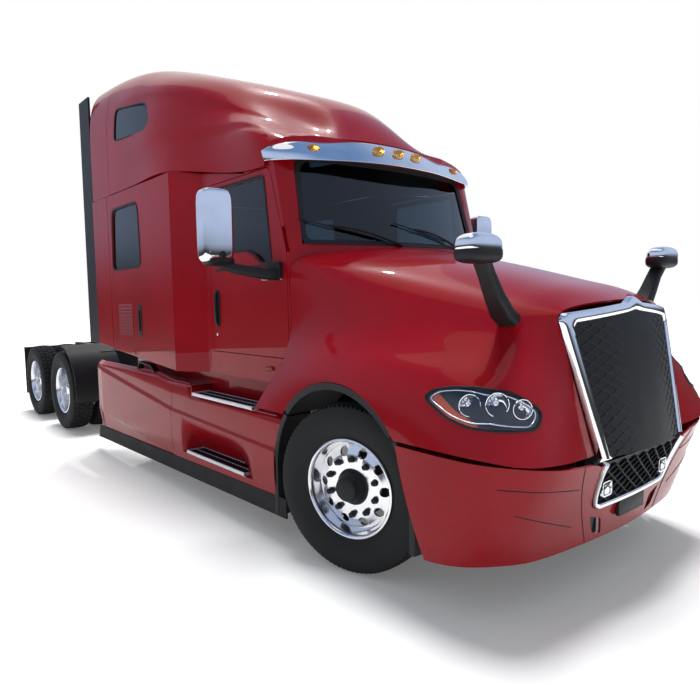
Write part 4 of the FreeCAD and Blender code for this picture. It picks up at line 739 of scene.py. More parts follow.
def sweep(path: Points, section: Points, up: Triple = (0.0, 0.0, 1.0),
          scale: Points | None = None) -> Shell:
    """Closed section carried along a path, with flat ends.

    Args:
        path: Points of the path, shape (n, 3).
        section: Outline of (sideways, upwards) offsets, shape (m, 2).
        up: Direction that stays upwards.
        scale: Size of the section at each point of the path.

    Returns:
        The swept solid.
    """
    ahead = np.gradient(path, axis=0)
    ahead /= np.linalg.norm(ahead, axis=1, keepdims=True)
    side = np.cross(ahead, np.array(up))
    side /= np.linalg.norm(side, axis=1, keepdims=True)
    top = np.cross(side, ahead)
    size = np.ones(len(path)) if scale is None else scale
    offsets = section[None, :, :1] * side[:, None] + section[None, :, 1:] * top[:, None]
    return Shell().loft(path[:, None] + offsets * size[:, None, None])


def circle(radius: float, steps: int = 16) -> Points:
    """Round section."""
    turn = np.linspace(0.0, 2 * np.pi, steps, endpoint=False)
    return np.stack([np.cos(turn), np.sin(turn)], -1) * radius


def placed(shell: Shell, at: Sequence[float], turn: float = 0.0) -> Shell:
    """A shell turned about z by degrees, then moved."""
    a = math.radians(turn)
    spin = np.array([[math.cos(a), math.sin(a), 0.0], [-math.sin(a), math.cos(a), 0.0], [0.0, 0.0, 1.0]])
    return Shell().add(shell.cloud @ spin + np.array(at), shell.faces)


def joined(*shells: Shell) -> Shell:
    """Several shells as one."""
    whole = Shell()
    for shell in shells:
        whole.add(shell.cloud, shell.faces)
    return whole


def loop(path: Points, section: Points, up: Triple = (1.0, 0.0, 0.0)) -> Shell:
    """Closed section carried round a closed path."""
    ahead = np.roll(path, -1, 0) - np.roll(path, 1, 0)
    ahead /= np.linalg.norm(ahead, axis=1, keepdims=True)
    side = np.cross(ahead, np.array(up))
    side /= np.linalg.norm(side, axis=1, keepdims=True)
    top = np.cross(side, ahead)
    offsets = section[None, :, :1] * side[:, None] + section[None, :, 1:] * top[:, None]
    return Shell().grid(path[:, None] + offsets, wrap_u=True, wrap_v=True)


def evened(line: Points, count: int, closed: bool = False) -> Points:
    """Points at even steps along a line through the given ones."""
    whole = np.vstack([line, line[:1]]) if closed else line
    length = np.concatenate([[0.0], np.cumsum(np.linalg.norm(np.diff(whole, axis=0), axis=1))])
    at = np.linspace(0.0, length[-1], count, endpoint=not closed)
    return np.stack([np.interp(at, length, whole[:, k]) for k in range(line.shape[1])], -1)


def bar(low: Sequence[float], high: Sequence[float], axis: int = 2, radius: float = 0.004) -> Shell:
    """Block between two corners, its edges along `axis` rounded."""
    flat = [[corner[k] for k in range(3) if k != axis] for corner in (low, high)]
    return prism(rectangle(*flat, radius, 4), axis, low[axis], high[axis])


def ease(value: Points, low: float, high: float) -> Points:
    """Smooth step of an array from 0 at `low` to 1 at `high`."""
    t = np.clip((value - low) / (high - low), 0.0, 1.0)
    return t * t * (3.0 - 2.0 * t)


@dataclass(frozen=True)
class Drape:
    """Lays marks on a net: finds the surface point that has given coordinates along two directions."""

    net: Net
    basis: tuple[Triple, Triple]
    left_only: bool = True

    def at(self, marks: Points, offset: float = 0.0) -> Points:
        """Surface points under the marks.

        Args:
            marks: Coordinates along the two directions, shape (n, 2).
            offset: Distance outwards along the normals.

        Returns:
            Points of shape (n, 3).
        """
        grid = self.net.sample(321, 221, offset)
        steps = [np.gradient(grid, axis=k).reshape(-1, 3) for k in (0, 1)]
        flat, ways = grid.reshape(-1, 3), np.array(self.basis)
        keep = np.flatnonzero(flat[:, 0] > 0.0) if self.left_only else np.arange(len(flat))
        gaps = np.linalg.norm((flat[keep] @ ways.T)[None] - np.asarray(marks)[:, None], axis=-1)
        near = keep[gaps.argmin(1)]
        slopes = np.stack([step[near] @ ways.T for step in steps], -1)
        slopes += np.eye(2) * 1e-9
        share = np.clip(np.linalg.solve(slopes, (marks - flat[near] @ ways.T)[..., None])[..., 0],
                        -1.0, 1.0)
        return flat[near] + steps[0][near] * share[:, :1] + steps[1][near] * share[:, 1:]


@dataclass
class Assembly:
    """A group of pieces that the workshop finishes."""

    workshop: Workshop

    def build(self) -> None:
        """Make the pieces."""
        raise NotImplementedError


@dataclass
class Hood(Assembly):
    """Tilting hood: one moulded skin with wheel arches, lamp openings and gooseneck hinges."""

    wall: float = 0.012
    arch_radius: float = 0.63
    arch_reach: float = 1.6
    door_front: float = 0.637
    door_bottom: float = 1.18
    net: Net = Net((
        ((0, -1120, 1592), (0, -990, 1650), (0, -820, 1700), (0, -450, 1795), (0, -50, 1890),
         (0, 220, 1945),
         (0, 405, 1985)),
        ((310, -1096, 1580), (330, -985, 1635), (350, -805, 1680), (380, -440, 1775), (400, -40, 1870),
         (420, 225, 1930), (430, 430, 1972)),
        ((565, -1050, 1535), (595, -950, 1550), (640, -770, 1585), (710, -420, 1665), (780, -20, 1790),
         (830, 290, 1868), (880, 545, 1925)),
        ((572, -1072, 1410), (670, -990, 1415), (755, -790, 1445), (845, -420, 1510), (940, -20, 1630),
         (990, 300, 1740), (1022, 612, 1815)),
        ((552, -1108, 1230), (760, -1045, 1240), (925, -860, 1275), (1030, -450, 1310), (1052, 0, 1370),
         (1035, 320, 1420), (1030, 612, 1450)),
        ((515, -1150, 1030), (830, -1130, 1050), (1075, -965, 1080), (1170, -500, 1140), (1185, 0, 1165),
         (1150, 400, 1175), (1088, 690, 1180)),
        ((478, -1195, 812), (850, -1215, 835), (1130, -1075, 868), (1212, -600, 888), (1212, 0, 888),
         (1203, 450, 888), (1190, 845, 888))))
    lamp: Outline = ((350, 1128), (300, 1168), (200, 1186), (95, 1188), (-50, 1170),
                     (-130, 1130), (-190, 1085), (-200, 1050), (-165, 1000), (30, 1000),
                     (155, 1008), (250, 1045))

    def lamp_outline(self, shrink: float = 0.0) -> Points:
        """Outline of the lamp as (along, height), moved in by `shrink`."""
        outline = rounded([(u / 1000, z / 1000) for u, z in self.lamp], 0.03, 4)
        reach = outline - outline.mean(0)
        return outline - reach / np.linalg.norm(reach, axis=1, keepdims=True) * shrink

    def lamp_prism(self, outline: Points | None = None, near: float = 1.1, far: float = 1.9) -> Shell:
        """An outline, by default the headlamp's, carried along the lamp's axis on the truck's left."""
        outline = self.lamp_outline() if outline is None else outline
        along, axis = np.array([1.0, 1.0, 0.0]) / math.sqrt(2), np.array([1.0, -1.0, 0.0]) / math.sqrt(2)
        ring = outline[:, :1] * along + outline[:, 1:] * np.array([0.0, 0.0, 1.0])
        return Shell().loft(np.stack([ring + axis * near, ring + axis * far]))

    def build(self) -> None:
        """Make the skin with its wall, cut by the wheels, the lamps, the cab and the doors' sweep."""
        skin = slab(self.net.sample(181, 121), self.net.sample(181, 121, -self.wall)).mesh("hood_skin")
        work = self.workshop
        reach, radius = self.arch_reach, self.arch_radius
        arch = lathe([(-reach, 0.0001), (-reach, radius), (reach, radius), (reach, 0.0001)], 160)
        work.carve(skin, placed(arch, (0.0, 0.0, HUB_Z)))
        work.carve(skin, self.lamp_prism().doubled())
        work.carve(skin, cab_room(0.006, 0.84, 2.6))
        swept = np.array([(-1.4, self.door_front), (1.4, self.door_front), (1.4, 1.2), (-1.4, 1.2)])
        work.carve(skin, prism(swept, 2, self.door_bottom, 2.6))
        work.finish(skin, "red_paint", "hood", ["hood"], 40.0)


def cab_room(grow: float, low: float, high: float) -> Shell:
    """Cab's plan, grown a little, between two heights: its front bows round the cowl."""
    half, corner, nose = DOOR_X + grow, 0.625 - grow, 0.43 - grow
    rise = corner - nose
    radius = (half ** 2 + rise ** 2) / (2 * rise)
    sweep_angle = math.asin(half / radius)
    turn = np.linspace(-sweep_angle, sweep_angle, 49)
    arc = np.stack([radius * np.sin(turn), nose + radius * (1 - np.cos(turn))], -1)
    plan = np.vstack([arc, [[half, 1.5], [-half, 1.5]]])
    return prism(plan, 2, low, high)


@dataclass
class Roof(Assembly):
    """High roof fairing with its upper windows."""

    wall: float = 0.022
    crease: float = 0.016
    bay: float = 0.012
    net: Net = Net((
        ((0, 720, 2800), (0, 950, 3070), (0, 1440, 3335), (0, 2100, 3605), (0, 2700, 3825), (0, 3300, 3960),
         (0, 3900, 3985)),
        ((350, 727, 2792), (310, 970, 3030), (410, 1440, 3318), (470, 2100, 3590), (480, 2700, 3810),
         (480, 3300, 3950), (480, 3900, 3975)),
        ((600, 752, 2775), (490, 1000, 2915), (700, 1440, 3240), (840, 2100, 3540), (860, 2700, 3750),
         (870, 3300, 3890), (870, 3900, 3925)),
        ((800, 777, 2752), (780, 1020, 2880), (860, 1440, 3110), (1060, 2100, 3395), (1090, 2700, 3590),
         (1110, 3300, 3720), (1115, 3900, 3770)),
        ((960, 810, 2718), (1005, 1030, 2845), (975, 1440, 2960), (1145, 2100, 3150), (1180, 2700, 3290),
         (1190, 3300, 3400), (1195, 3900, 3440)),
        ((1040, 837, 2625), (1057, 1030, 2740), (1062, 1440, 2765), (1175, 2060, 2870), (1200, 2700, 2990),
         (1200, 3300, 3050), (1200, 3900, 3080)),
        ((1055, 845, 2550), (1062, 1020, 2548), (1062, 1440, 2600), (1200, 2060, 2704), (1200, 2700, 2704),
         (1200, 3300, 2704), (1200, 3900, 2704))))
    window: Outline = ((3.215, 3.19), (3.195, 3.46), (3.155, 3.48), (2.6, 3.4), (2.52, 3.37),
                       (2.415, 3.215), (2.44, 3.16), (2.52, 3.135))

    def surface(self, offset: float = 0.0) -> Points:
        """Net's surface with two long soft creases and the hollow bay over each door.

        Each crease runs along a row of the net that falls towards the front, and is a ridge whose
        lower flank is steeper than its upper one.
        """
        points = self.net.sample(221, 121, offset)
        row = np.abs(np.linspace(-6.0, 6.0, 221))[:, None]
        y = points[..., 1]
        upper = np.interp(y, (0.9, 1.05, 1.4, 2.1, 2.64, 3.9), (2.2, 3.1, 3.6, 3.72, 4.0, 4.6))
        lower = np.interp(y, (0.88, 1.04, 1.46, 1.96, 2.4, 3.2), (3.0, 4.45, 4.8, 5.0, 5.25, 5.6))
        lift = self.ridge(row - upper) * ease(y, 0.95, 1.5) * (1 - ease(y, 2.7, 3.3)) * self.crease
        lift += self.ridge(row - lower) * ease(y, 0.9, 1.3) * (1 - ease(y, 2.3, 3.0)) * self.crease
        hollow = ease(row - lower, 0.05, 0.4) * (1 - ease(row, 5.6, 5.95))
        hollow = hollow * ease(y, 0.9, 1.25) * (1 - ease(y, 1.6, 2.05))
        return points + normals(points) * (lift - hollow * self.bay)[..., None]

    @staticmethod
    def ridge(distance: Points) -> Points:
        """Ridge of height 1 at 0: gentle above, steep below."""
        return np.where(distance < 0.0, np.exp(-(distance / 0.7) ** 2), np.exp(-(distance / 0.22) ** 2))

    def build(self) -> None:
        """Make the skin with its windows cut."""
        skin = slab(self.surface(), self.surface(-self.wall)).mesh("roof_skin")
        self.workshop.carve(skin, prism(rounded(self.window, 0.05), 0, -1.3, 1.3))
        self.workshop.finish(skin, "red_paint", "chassis", ["roof_fairing"], 40.0)


@dataclass
class Bumper(Assembly):
    """Painted bumper with its centre opening and tow holes."""

    wall: float = 0.012
    net: Net = Net((
        ((0, -1129, 307), (0, -1150, 420), (0, -1185, 600), (0, -1262, 786)),
        ((255, -1121, 307), (260, -1143, 420), (262, -1180, 600), (265, -1258, 786)),
        ((607, -1090, 307), (615, -1118, 420), (618, -1160, 600), (625, -1240, 790)),
        ((841, -1046, 307), (860, -1080, 420), (868, -1130, 600), (880, -1195, 812)),
        ((967, -982, 307), (1000, -1015, 420), (1012, -1070, 600), (1030, -1118, 832)),
        ((1086, -896, 307), (1125, -915, 420), (1145, -960, 600), (1150, -1000, 850)),
        ((1169, -777, 307), (1195, -770, 420), (1212, -770, 600), (1212, -800, 862)),
        ((1190, -691, 307), (1205, -655, 420), (1215, -590, 600), (1215, -520, 868))))
    mouth: Outline = ((0.47, 0.9), (0.47, 0.76), (0.43, 0.54), (0.395, 0.5), (-0.395, 0.5),
                      (-0.43, 0.54), (-0.47, 0.76), (-0.47, 0.9))

    def build(self) -> None:
        """Make the skin, its openings, the shelf behind its edge, the seams and a dark backing of painted
        shade.
        """
        work = self.workshop
        skin = slab(self.net.sample(161, 41), self.net.sample(161, 41, -self.wall)).mesh("bumper_skin")
        work.carve(skin, prism(rounded(self.mouth, 0.04), 1, -1.6, -0.9))
        work.carve(skin, prism(np.array([(0.405, 0.764), (0.494, 0.764), (0.522, 0.776), (0.64, 0.806),
                                         (0.64, 0.9), (0.405, 0.9)]), 1, -1.4, -1.08).doubled())
        work.carve(skin, prism(rounded([(0.41, 0.464), (0.29, 0.428), (0.262, 0.332), (0.353, 0.356)],
                                       0.018), 1, -1.5, -0.9).doubled())
        work.finish(skin, "red_paint", "chassis", ["bumper"], 40.0)
        edge = self.net.sample(161, 41, -self.wall * 0.5)[:, -1]
        edge = edge[edge[:, 0] > 0.66]
        inward = np.array([0.88, 0.84, 1.0])
        thin, thick = np.array([0.0, 0.0, 0.004]), np.array([0.0, 0.0, 0.008])
        rings = np.stack([edge, edge * inward - thin, edge * inward - thick, edge - thick], 1)
        shelf = Shell().loft(rings - thin)
        work.stand("bumper_shelf", shelf.doubled(), "red_paint")
        drape = Drape(self.net, ((1.0, 0.0, 0.0), (0.0, 0.0, 1.0)))
        lines = (((0.642, 0.785), (0.405, 0.315)), ((1.092, 0.732), (0.602, 0.659)),
                 ((0.991, 0.590), (0.572, 0.443)))
        seams = [sweep(drape.at(np.linspace(*ends, 31)), circle(0.0026, 6)) for ends in lines]
        # dark plate behind the tow holes: painted shade, so that the holes look dark inside
        backing = bar((0.24, -1.09, 0.31), (0.44, -1.078, 0.485), 1, 0.002)
        work.stand("bumper_seams", joined(backing, *seams).doubled(), "black_plastic")


@dataclass
class Wheels(Assembly):
    """Tyres with their tread and sidewalls, and polished disc wheels with nuts and hub caps."""

    tyre_radius: float = 0.51
    rim_radius: float = 0.286
    rim_width: float = 0.23
    front_face: float = 0.251
    drive_face: float = 1.198
    dual_spacing: float = 0.336
    nut_circle: float = 0.1675
    hole_circle: float = 0.214
    bolt_circle: float = 0.0865
    front_disc: float = -0.058
    drive_disc: float = -0.205
    tread_depth: float = 0.014
    half_tread: float = 0.115
    nuts: int = 10
    steer: float = 14.0

    def spokes(self, offset: float = 0.0) -> list[Points]:
        """Directions of the nuts or hand holes round the axle."""
        turn = np.arange(self.nuts) * 2 * math.pi / self.nuts + offset
        return [np.array([0.0, math.cos(a), math.sin(a)]) for a in turn]

    def build(self) -> None:
        """Make the two front wheels and the four twin wheels."""
        ribs, lugs = self.tyre(True), self.tyre(False)
        front, outer, inner = self.front_wheel(), self.drive_wheel(), self.plain_wheel()
        hub = self.fittings(self.front_disc, 0.085)
        for side in Side:
            turn = self.steer if side is Side.LEFT else 180.0 + self.steer
            at = (HALF_TRACK * side.value, 0.0, HUB_Z)
            for kind, shells in (("tyre", [(ribs, self.front_face)]), ("rim", [(front, self.front_face)])):
                self.put(f"front_{kind}", side, shells, at, turn, f"front_wheel_{side.word}",
                         [f"front_{kind}_{side.word}"])
            self.put("front_hub", side, [(hub, self.front_face)], at, turn, f"front_wheel_{side.word}", [])
            for axle, axle_y in (("first", FIRST_DRIVE_Y), ("second", SECOND_DRIVE_Y)):
                near, far = self.drive_face, self.drive_face - self.dual_spacing
                turn = 0.0 if side is Side.LEFT else 180.0
                for kind, shells in (("tyres", [(lugs, near), (lugs, far)]),
                                     ("rims", [(outer, near), (inner, far)])):
                    self.put(f"drive_{kind}_{axle}", side, shells, (0.0, axle_y, HUB_Z), turn,
                             f"drive_wheel_{axle}_{side.word}", [f"drive_{kind}_{axle}_{side.word}"])

    def put(self, name: str, side: Side, shells: list[tuple[Shell, float]], at: Sequence[float],
            turn: float, body: str, nodes: list[str]) -> None:
        """Move shells out along their axle, turn them to their side and finish them as one piece."""
        whole = placed(joined(*(placed(shell, (face, 0.0, 0.0)) for shell, face in shells)), at, turn)
        slot = "tyre" if "tyre" in name else "black_plastic" if "hub" in name else "polished_aluminium"
        self.workshop.finish(whole.mesh(f"{name}_{side.word}_look"), slot, body, nodes, 34.0)

    def tyre(self, ribbed: bool) -> Shell:
        """Tyre with its outer flange at x = 0.

        The section is a closed curve of (x, radius); the crown is then pressed in by grooves that
        depend on x and on the angle: straight ribs in front, staggered blocks on the drive wheels.
        """
        section = np.array([(-0.100, 0.302), (-0.122, 0.335), (-0.139, 0.385), (-0.140, 0.425),
                            (-0.133, 0.462), (-0.124, 0.488)])
        crown_x = np.linspace(-self.half_tread, self.half_tread, 35 if ribbed else 25)
        crown = np.stack([crown_x, self.tyre_radius - 0.9 * crown_x ** 2 * 0.9], -1)
        bead = [[0.10, 0.288], [-0.10, 0.288]]
        line = np.vstack([section, crown, section[::-1] * np.array([-1.0, 1.0]), bead])
        steps = 288 if ribbed else 240
        turn = np.linspace(0.0, 2 * np.pi, steps, endpoint=False)[:, None]
        x, radius = line[None, :, 0] + 0 * turn, line[None, :, 1] + 0 * turn
        on_crown = (np.abs(x) < 0.1151) & (radius > 0.49)
        if ribbed:
            zigzag, middles, half_groove = 0.0022 * np.sign(np.sin(turn * 72.0)), [-0.078, -0.027,
                                                                                   0.027, 0.078], 0.006
            sipe = (np.abs(np.abs(x) - 0.108) < 0.008) & (np.sin(turn * 96.0) > 0.6)
        else:
            zigzag, middles, half_groove = 0 * turn, [-0.0575, 0.0, 0.0575], 0.0045
            row = np.floor((x + self.half_tread) / 0.0575)
            sipe = np.mod(turn * 48.0 / (2 * np.pi) + 0.5 * np.mod(row, 2.0) + 4.0 * np.abs(x), 1.0) < 0.2
        groove = np.min(np.abs(x[..., None] - zigzag[..., None] - np.array(middles)), -1) < half_groove
        depth = np.where(on_crown & (groove | sipe), self.tread_depth, 0.0)
        rings = 0.0016 * ((np.abs(radius - 0.345) < 0.004) | (np.abs(radius - 0.47) < 0.003))
        radius = radius - depth + rings
        x = x - self.rim_width / 2
        points = np.stack([x, np.cos(turn) * radius, np.sin(turn) * radius], -1)
        return Shell().grid(points, wrap_u=True, wrap_v=True, flip=True)

    def barrel(self, disc: list[tuple[float, float]], steps: int = 120) -> Shell:
        """Lathe of a rim: outer flange, bowl down to the disc, the disc, and the back of the barrel."""
        r, w = self.rim_radius, self.rim_width
        profile = [(-0.001, r + 0.006), (-0.004, r + 0.012), (-0.010, r + 0.010), (-0.016, r + 0.001),
                   (-0.05, r), (-w + 0.03, r), (-w + 0.012, r + 0.002), (-w, r + 0.012),
                   (-w + 0.002, r + 0.004), (-w + 0.014, r - 0.010), (-w + 0.03, r - 0.016)]
        front = [(-0.03, r - 0.014), (-0.016, r - 0.010), (-0.006, r - 0.004), (-0.001, r + 0.001)]
        return lathe(profile + disc + front, steps)

    def front_wheel(self) -> Shell:
        """Front wheel: convex disc near the outer flange, and holes; the nuts and hub cap are a piece
        apart.
        """
        r = self.rim_radius
        back = [(-0.10, r - 0.02), (-0.095, 0.24), (-0.078, 0.20), (-0.072, 0.11)]
        face = [(self.front_disc, 0.11), (self.front_disc, 0.192), (-0.064, 0.205), (-0.081, 0.238),
                (-0.085, r - 0.03), (-0.075, r - 0.022)]
        return self.drilled(self.barrel(back + face), -0.075)

    def drive_wheel(self) -> Shell:
        """Outer drive wheel: deep dish with the hub in its middle."""
        r = self.rim_radius
        back = [(-0.226, r - 0.03), (-0.222, 0.22), (-0.219, 0.11)]
        face = [(self.drive_disc, 0.11), (self.drive_disc, 0.20), (-0.195, 0.235), (-0.17, r - 0.028),
                (-0.12, r - 0.024), (-0.06, r - 0.02)]
        disc = self.drilled(self.barrel(back + face), self.drive_disc)
        return joined(disc, self.fittings(self.drive_disc, 0.15))

    def plain_wheel(self) -> Shell:
        """Inner drive wheel: a barrel with a flat disc."""
        r = self.rim_radius
        return self.barrel([(-0.08, r - 0.02), (-0.052, 0.22), (-0.05, 0.07), (-0.03, 0.07), (-0.03, 0.22),
                            (-0.06, r - 0.022)], 72)

    def drilled(self, barrel: Shell, hole_x: float) -> Shell:
        """A wheel with its hand holes cut.

        Args:
            barrel: The turned rim and disc.
            hole_x: Where the disc lies at its hand holes.

        Returns:
            The drilled wheel.
        """
        drill = [(hole_x - 0.06, 0.0001), (hole_x - 0.06, 0.029), (hole_x + 0.06, 0.029),
                 (hole_x + 0.06, 0.0001)]
        drills = joined(*(placed(lathe(drill, 28), self.hole_circle * way) for way in self.spokes()))
        # mesh() adds AXLE, which a wheel at the origin goes without
        made = Shell().add(barrel.cloud - AXLE, barrel.faces).mesh("wheel")
        self.workshop.outward(made)
        self.workshop.carve(made, Shell().add(drills.cloud - AXLE, drills.faces))
        points = np.empty(len(made.data.vertices) * 3)
        made.data.vertices.foreach_get("co", points)
        faces = [list(p.vertices) for p in made.data.polygons]
        bpy.data.objects.remove(made)
        return Shell().add(points.reshape(-1, 3), faces)

    def fittings(self, nut_x: float, cap: float) -> Shell:
        """Ten nuts and a stepped hub cap.

        Args:
            nut_x: Face that the nuts sit on.
            cap: How far the hub cap stands out of that face.

        Returns:
            The fittings.
        """
        top = nut_x + cap
        nut, hub, bolt = ([(nut_x + x, radius) for x, radius in profile] for profile in (
            ((-0.002, 0.0001), (-0.002, 0.021), (0.006, 0.021), (0.008, 0.0165), (0.028, 0.016),
             (0.031, 0.011), (0.033, 0.0001)),
            ((-0.03, 0.0001), (-0.03, 0.108), (0.002, 0.108), (0.004, 0.096), (0.012, 0.089),
             (0.05, 0.083)),
            ((0.006, 0.0001), (0.006, 0.007), (0.02, 0.006), (0.02, 0.0001))))
        hub += [(top - 0.02, 0.075), (top - 0.006, 0.068), (top, 0.052), (top, 0.0001)]
        whole = [lathe(hub, 48)]
        for way in self.spokes(math.pi / self.nuts):
            whole += [placed(lathe(nut, 12), self.nut_circle * way),
                      placed(lathe(bolt, 6), self.bolt_circle * way)]
        return joined(*whole)


@dataclass
class Visor(Assembly):
    """Chrome sun visor over the windscreen with its five marker lamps."""

    wall: float = 0.006
    net: Net = Net((
        ((0, 500, 2590), (0, 545, 2650), (0, 600, 2705), (0, 690, 2782)),
        ((350, 525, 2588), (350, 568, 2645), (350, 622, 2698), (350, 700, 2770)),
        ((700, 605, 2580), (700, 640, 2632), (700, 682, 2680), (690, 745, 2735)),
        ((1000, 705, 2568), (1006, 714, 2610), (1000, 733, 2652), (976, 770, 2694)),
        ((1066, 828, 2575), (1072, 834, 2600), (1074, 842, 2625), (1070, 856, 2648))))
    lamps: tuple[Triple, ...] = ((0.0, 0.6, 2.705), (0.202, 0.608, 2.702), (-0.202, 0.608, 2.702),
                                 (0.748, 0.7, 2.665), (-0.748, 0.7, 2.665))

    def build(self) -> None:
        """Make the blade with its rolled lip, and the lamps."""
        blade = slab(self.net.sample(121, 25), self.net.sample(121, 25, -self.wall)).mesh("visor_blade")
        self.workshop.soften(blade, 0.0022, 2, 50.0)
        self.workshop.finish(blade, "chrome", "chassis", ["visor"])
        whole = Shell()
        for x, y, z in self.lamps:
            turn = np.linspace(0.0, 2 * np.pi, 33)[:-1, None]
            lift = np.linspace(0.0, 1.0, 9)[None, :]
            flat = np.cos(lift * math.pi / 2)
            ahead = y - 0.012 + 0.03 * np.sin(turn) * flat - 0.022 * np.sin(lift * 1.57)
            height = z + 0.022 * np.sin(turn) * flat + 0.026 * np.sin(lift * math.pi / 2)
            whole.grid(np.stack([x + 0.052 * np.cos(turn) * flat, ahead, height], -1), wrap_u=True)
        self.workshop.stand("visor_lamps", whole, "amber", "chassis", ["marker_lamps"], 60.0)


def pillow(centre: Sequence[float], size: Sequence[float], power: Sequence[float],
           steps: int = 40) -> Shell:
    """Closed superellipsoid: each axis follows the cosine or sine of its angle to 2 over its power.

    Args:
        centre: Middle of the body.
        size: Half sizes along x, y and z.
        power: Squareness of the plan and of the upright section; 2 is an ellipse.
        steps: Number of steps round it.

    Returns:
        The closed surface.
    """
    around = np.linspace(-np.pi, np.pi, steps, endpoint=False)[:, None]
    rise = np.linspace(-np.pi / 2, np.pi / 2, steps // 2 + 1)[None, :]

    def bent(value: Points, p: float) -> Points:
        """Signed power, which squares a circle."""
        return np.sign(value) * np.abs(value) ** (2.0 / p)

    flat = bent(np.cos(rise), power[1])
    points = np.stack([size[0] * bent(np.cos(around), power[0]) * flat,
                       size[1] * bent(np.sin(around), power[0]) * flat,
                       size[2] * bent(np.sin(rise), power[1]) + 0 * around], -1)
    return Shell().grid(points + np.array(centre), wrap_u=True)


@dataclass
class Mirrors(Assembly):
    """Chrome door mirrors on black arms, and the small mirrors on the hood."""

    def build(self) -> None:
        """Make both pairs."""
        for side in Side:
            self.build_door_mirror(side)
        self.build_hood_mirrors()

    def build_door_mirror(self, side: Side) -> None:
        """Tall head with its glass at the back, a dark lower shell and a bent arm."""
        work, body = self.workshop, f"door_{side.word}"
        head = pillow((1.425, 0.895, 2.122), (0.115, 0.064, 0.242), (5.5, 6.5), 56)
        node = f"door_mirror_{side.word}"
        work.stand(f"door_mirror_head_{side.word}", head.on(side), "chrome", body, [node], 60.0)
        ball = pillow((1.41, 0.8355, 1.93), (0.028, 0.012, 0.028), (2.0, 2.0), 24)
        glass = prism(rectangle((1.33, 1.97), (1.52, 2.345), 0.03), 1, 0.955, 0.9645)
        work.stand(f"door_mirror_glass_{side.word}", glass.on(side), "chrome", body, sharp=32.0)
        low = pillow((1.41, 0.893, 1.892), (0.105, 0.062, 0.034), (4.0, 3.0), 48)
        way = np.array([(1.034, 0.77, 1.80), (1.06, 0.77, 1.80), (1.12, 0.785, 1.805), (1.20, 0.82, 1.82),
                        (1.29, 0.86, 1.84), (1.37, 0.885, 1.865), (1.42, 0.893, 1.89)])
        section = oblong(0.045, 0.036, 0.025)
        arm = sweep(way, section, scale=np.linspace(1.15, 0.8, len(way)))
        foot = prism(rectangle((0.69, 1.775), (0.85, 1.885), 0.03), 0, 1.0305, 1.058)
        black = joined(low, arm, foot, ball).on(side)
        work.stand(f"door_mirror_arm_{side.word}", black, "black_plastic", body, sharp=50.0)

    def build_hood_mirrors(self) -> None:
        """Rounded heads on slanted arms, whose feet lie on the hood."""
        work = self.workshop
        heads = pillow((1.015, -0.89, 1.865), (0.128, 0.068, 0.062), (4.0, 2.6), 48).doubled()
        work.stand("hood_mirror_heads", heads, "chrome", "hood", ["hood_mirrors"], 60.0)
        way = np.array([(0.72, -0.86, 1.50), (0.78, -0.862, 1.535), (0.86, -0.868, 1.63),
                        (0.93, -0.875, 1.73), (0.985, -0.885, 1.80), (1.0, -0.89, 1.83)])
        section = oblong(0.03, 0.05, 0.02)
        arms = sweep(way, section, up=(0.0, 1.0, 0.0), scale=np.array([1.25, 1.2, 1.0, 0.85, 0.85, 1.0]))
        cups = pillow((1.012, -0.888, 1.83), (0.131, 0.071, 0.05), (4.0, 3.0), 40)
        work.stand("hood_mirror_arms", joined(arms, cups).doubled(), "black_plastic", "hood", sharp=50.0)


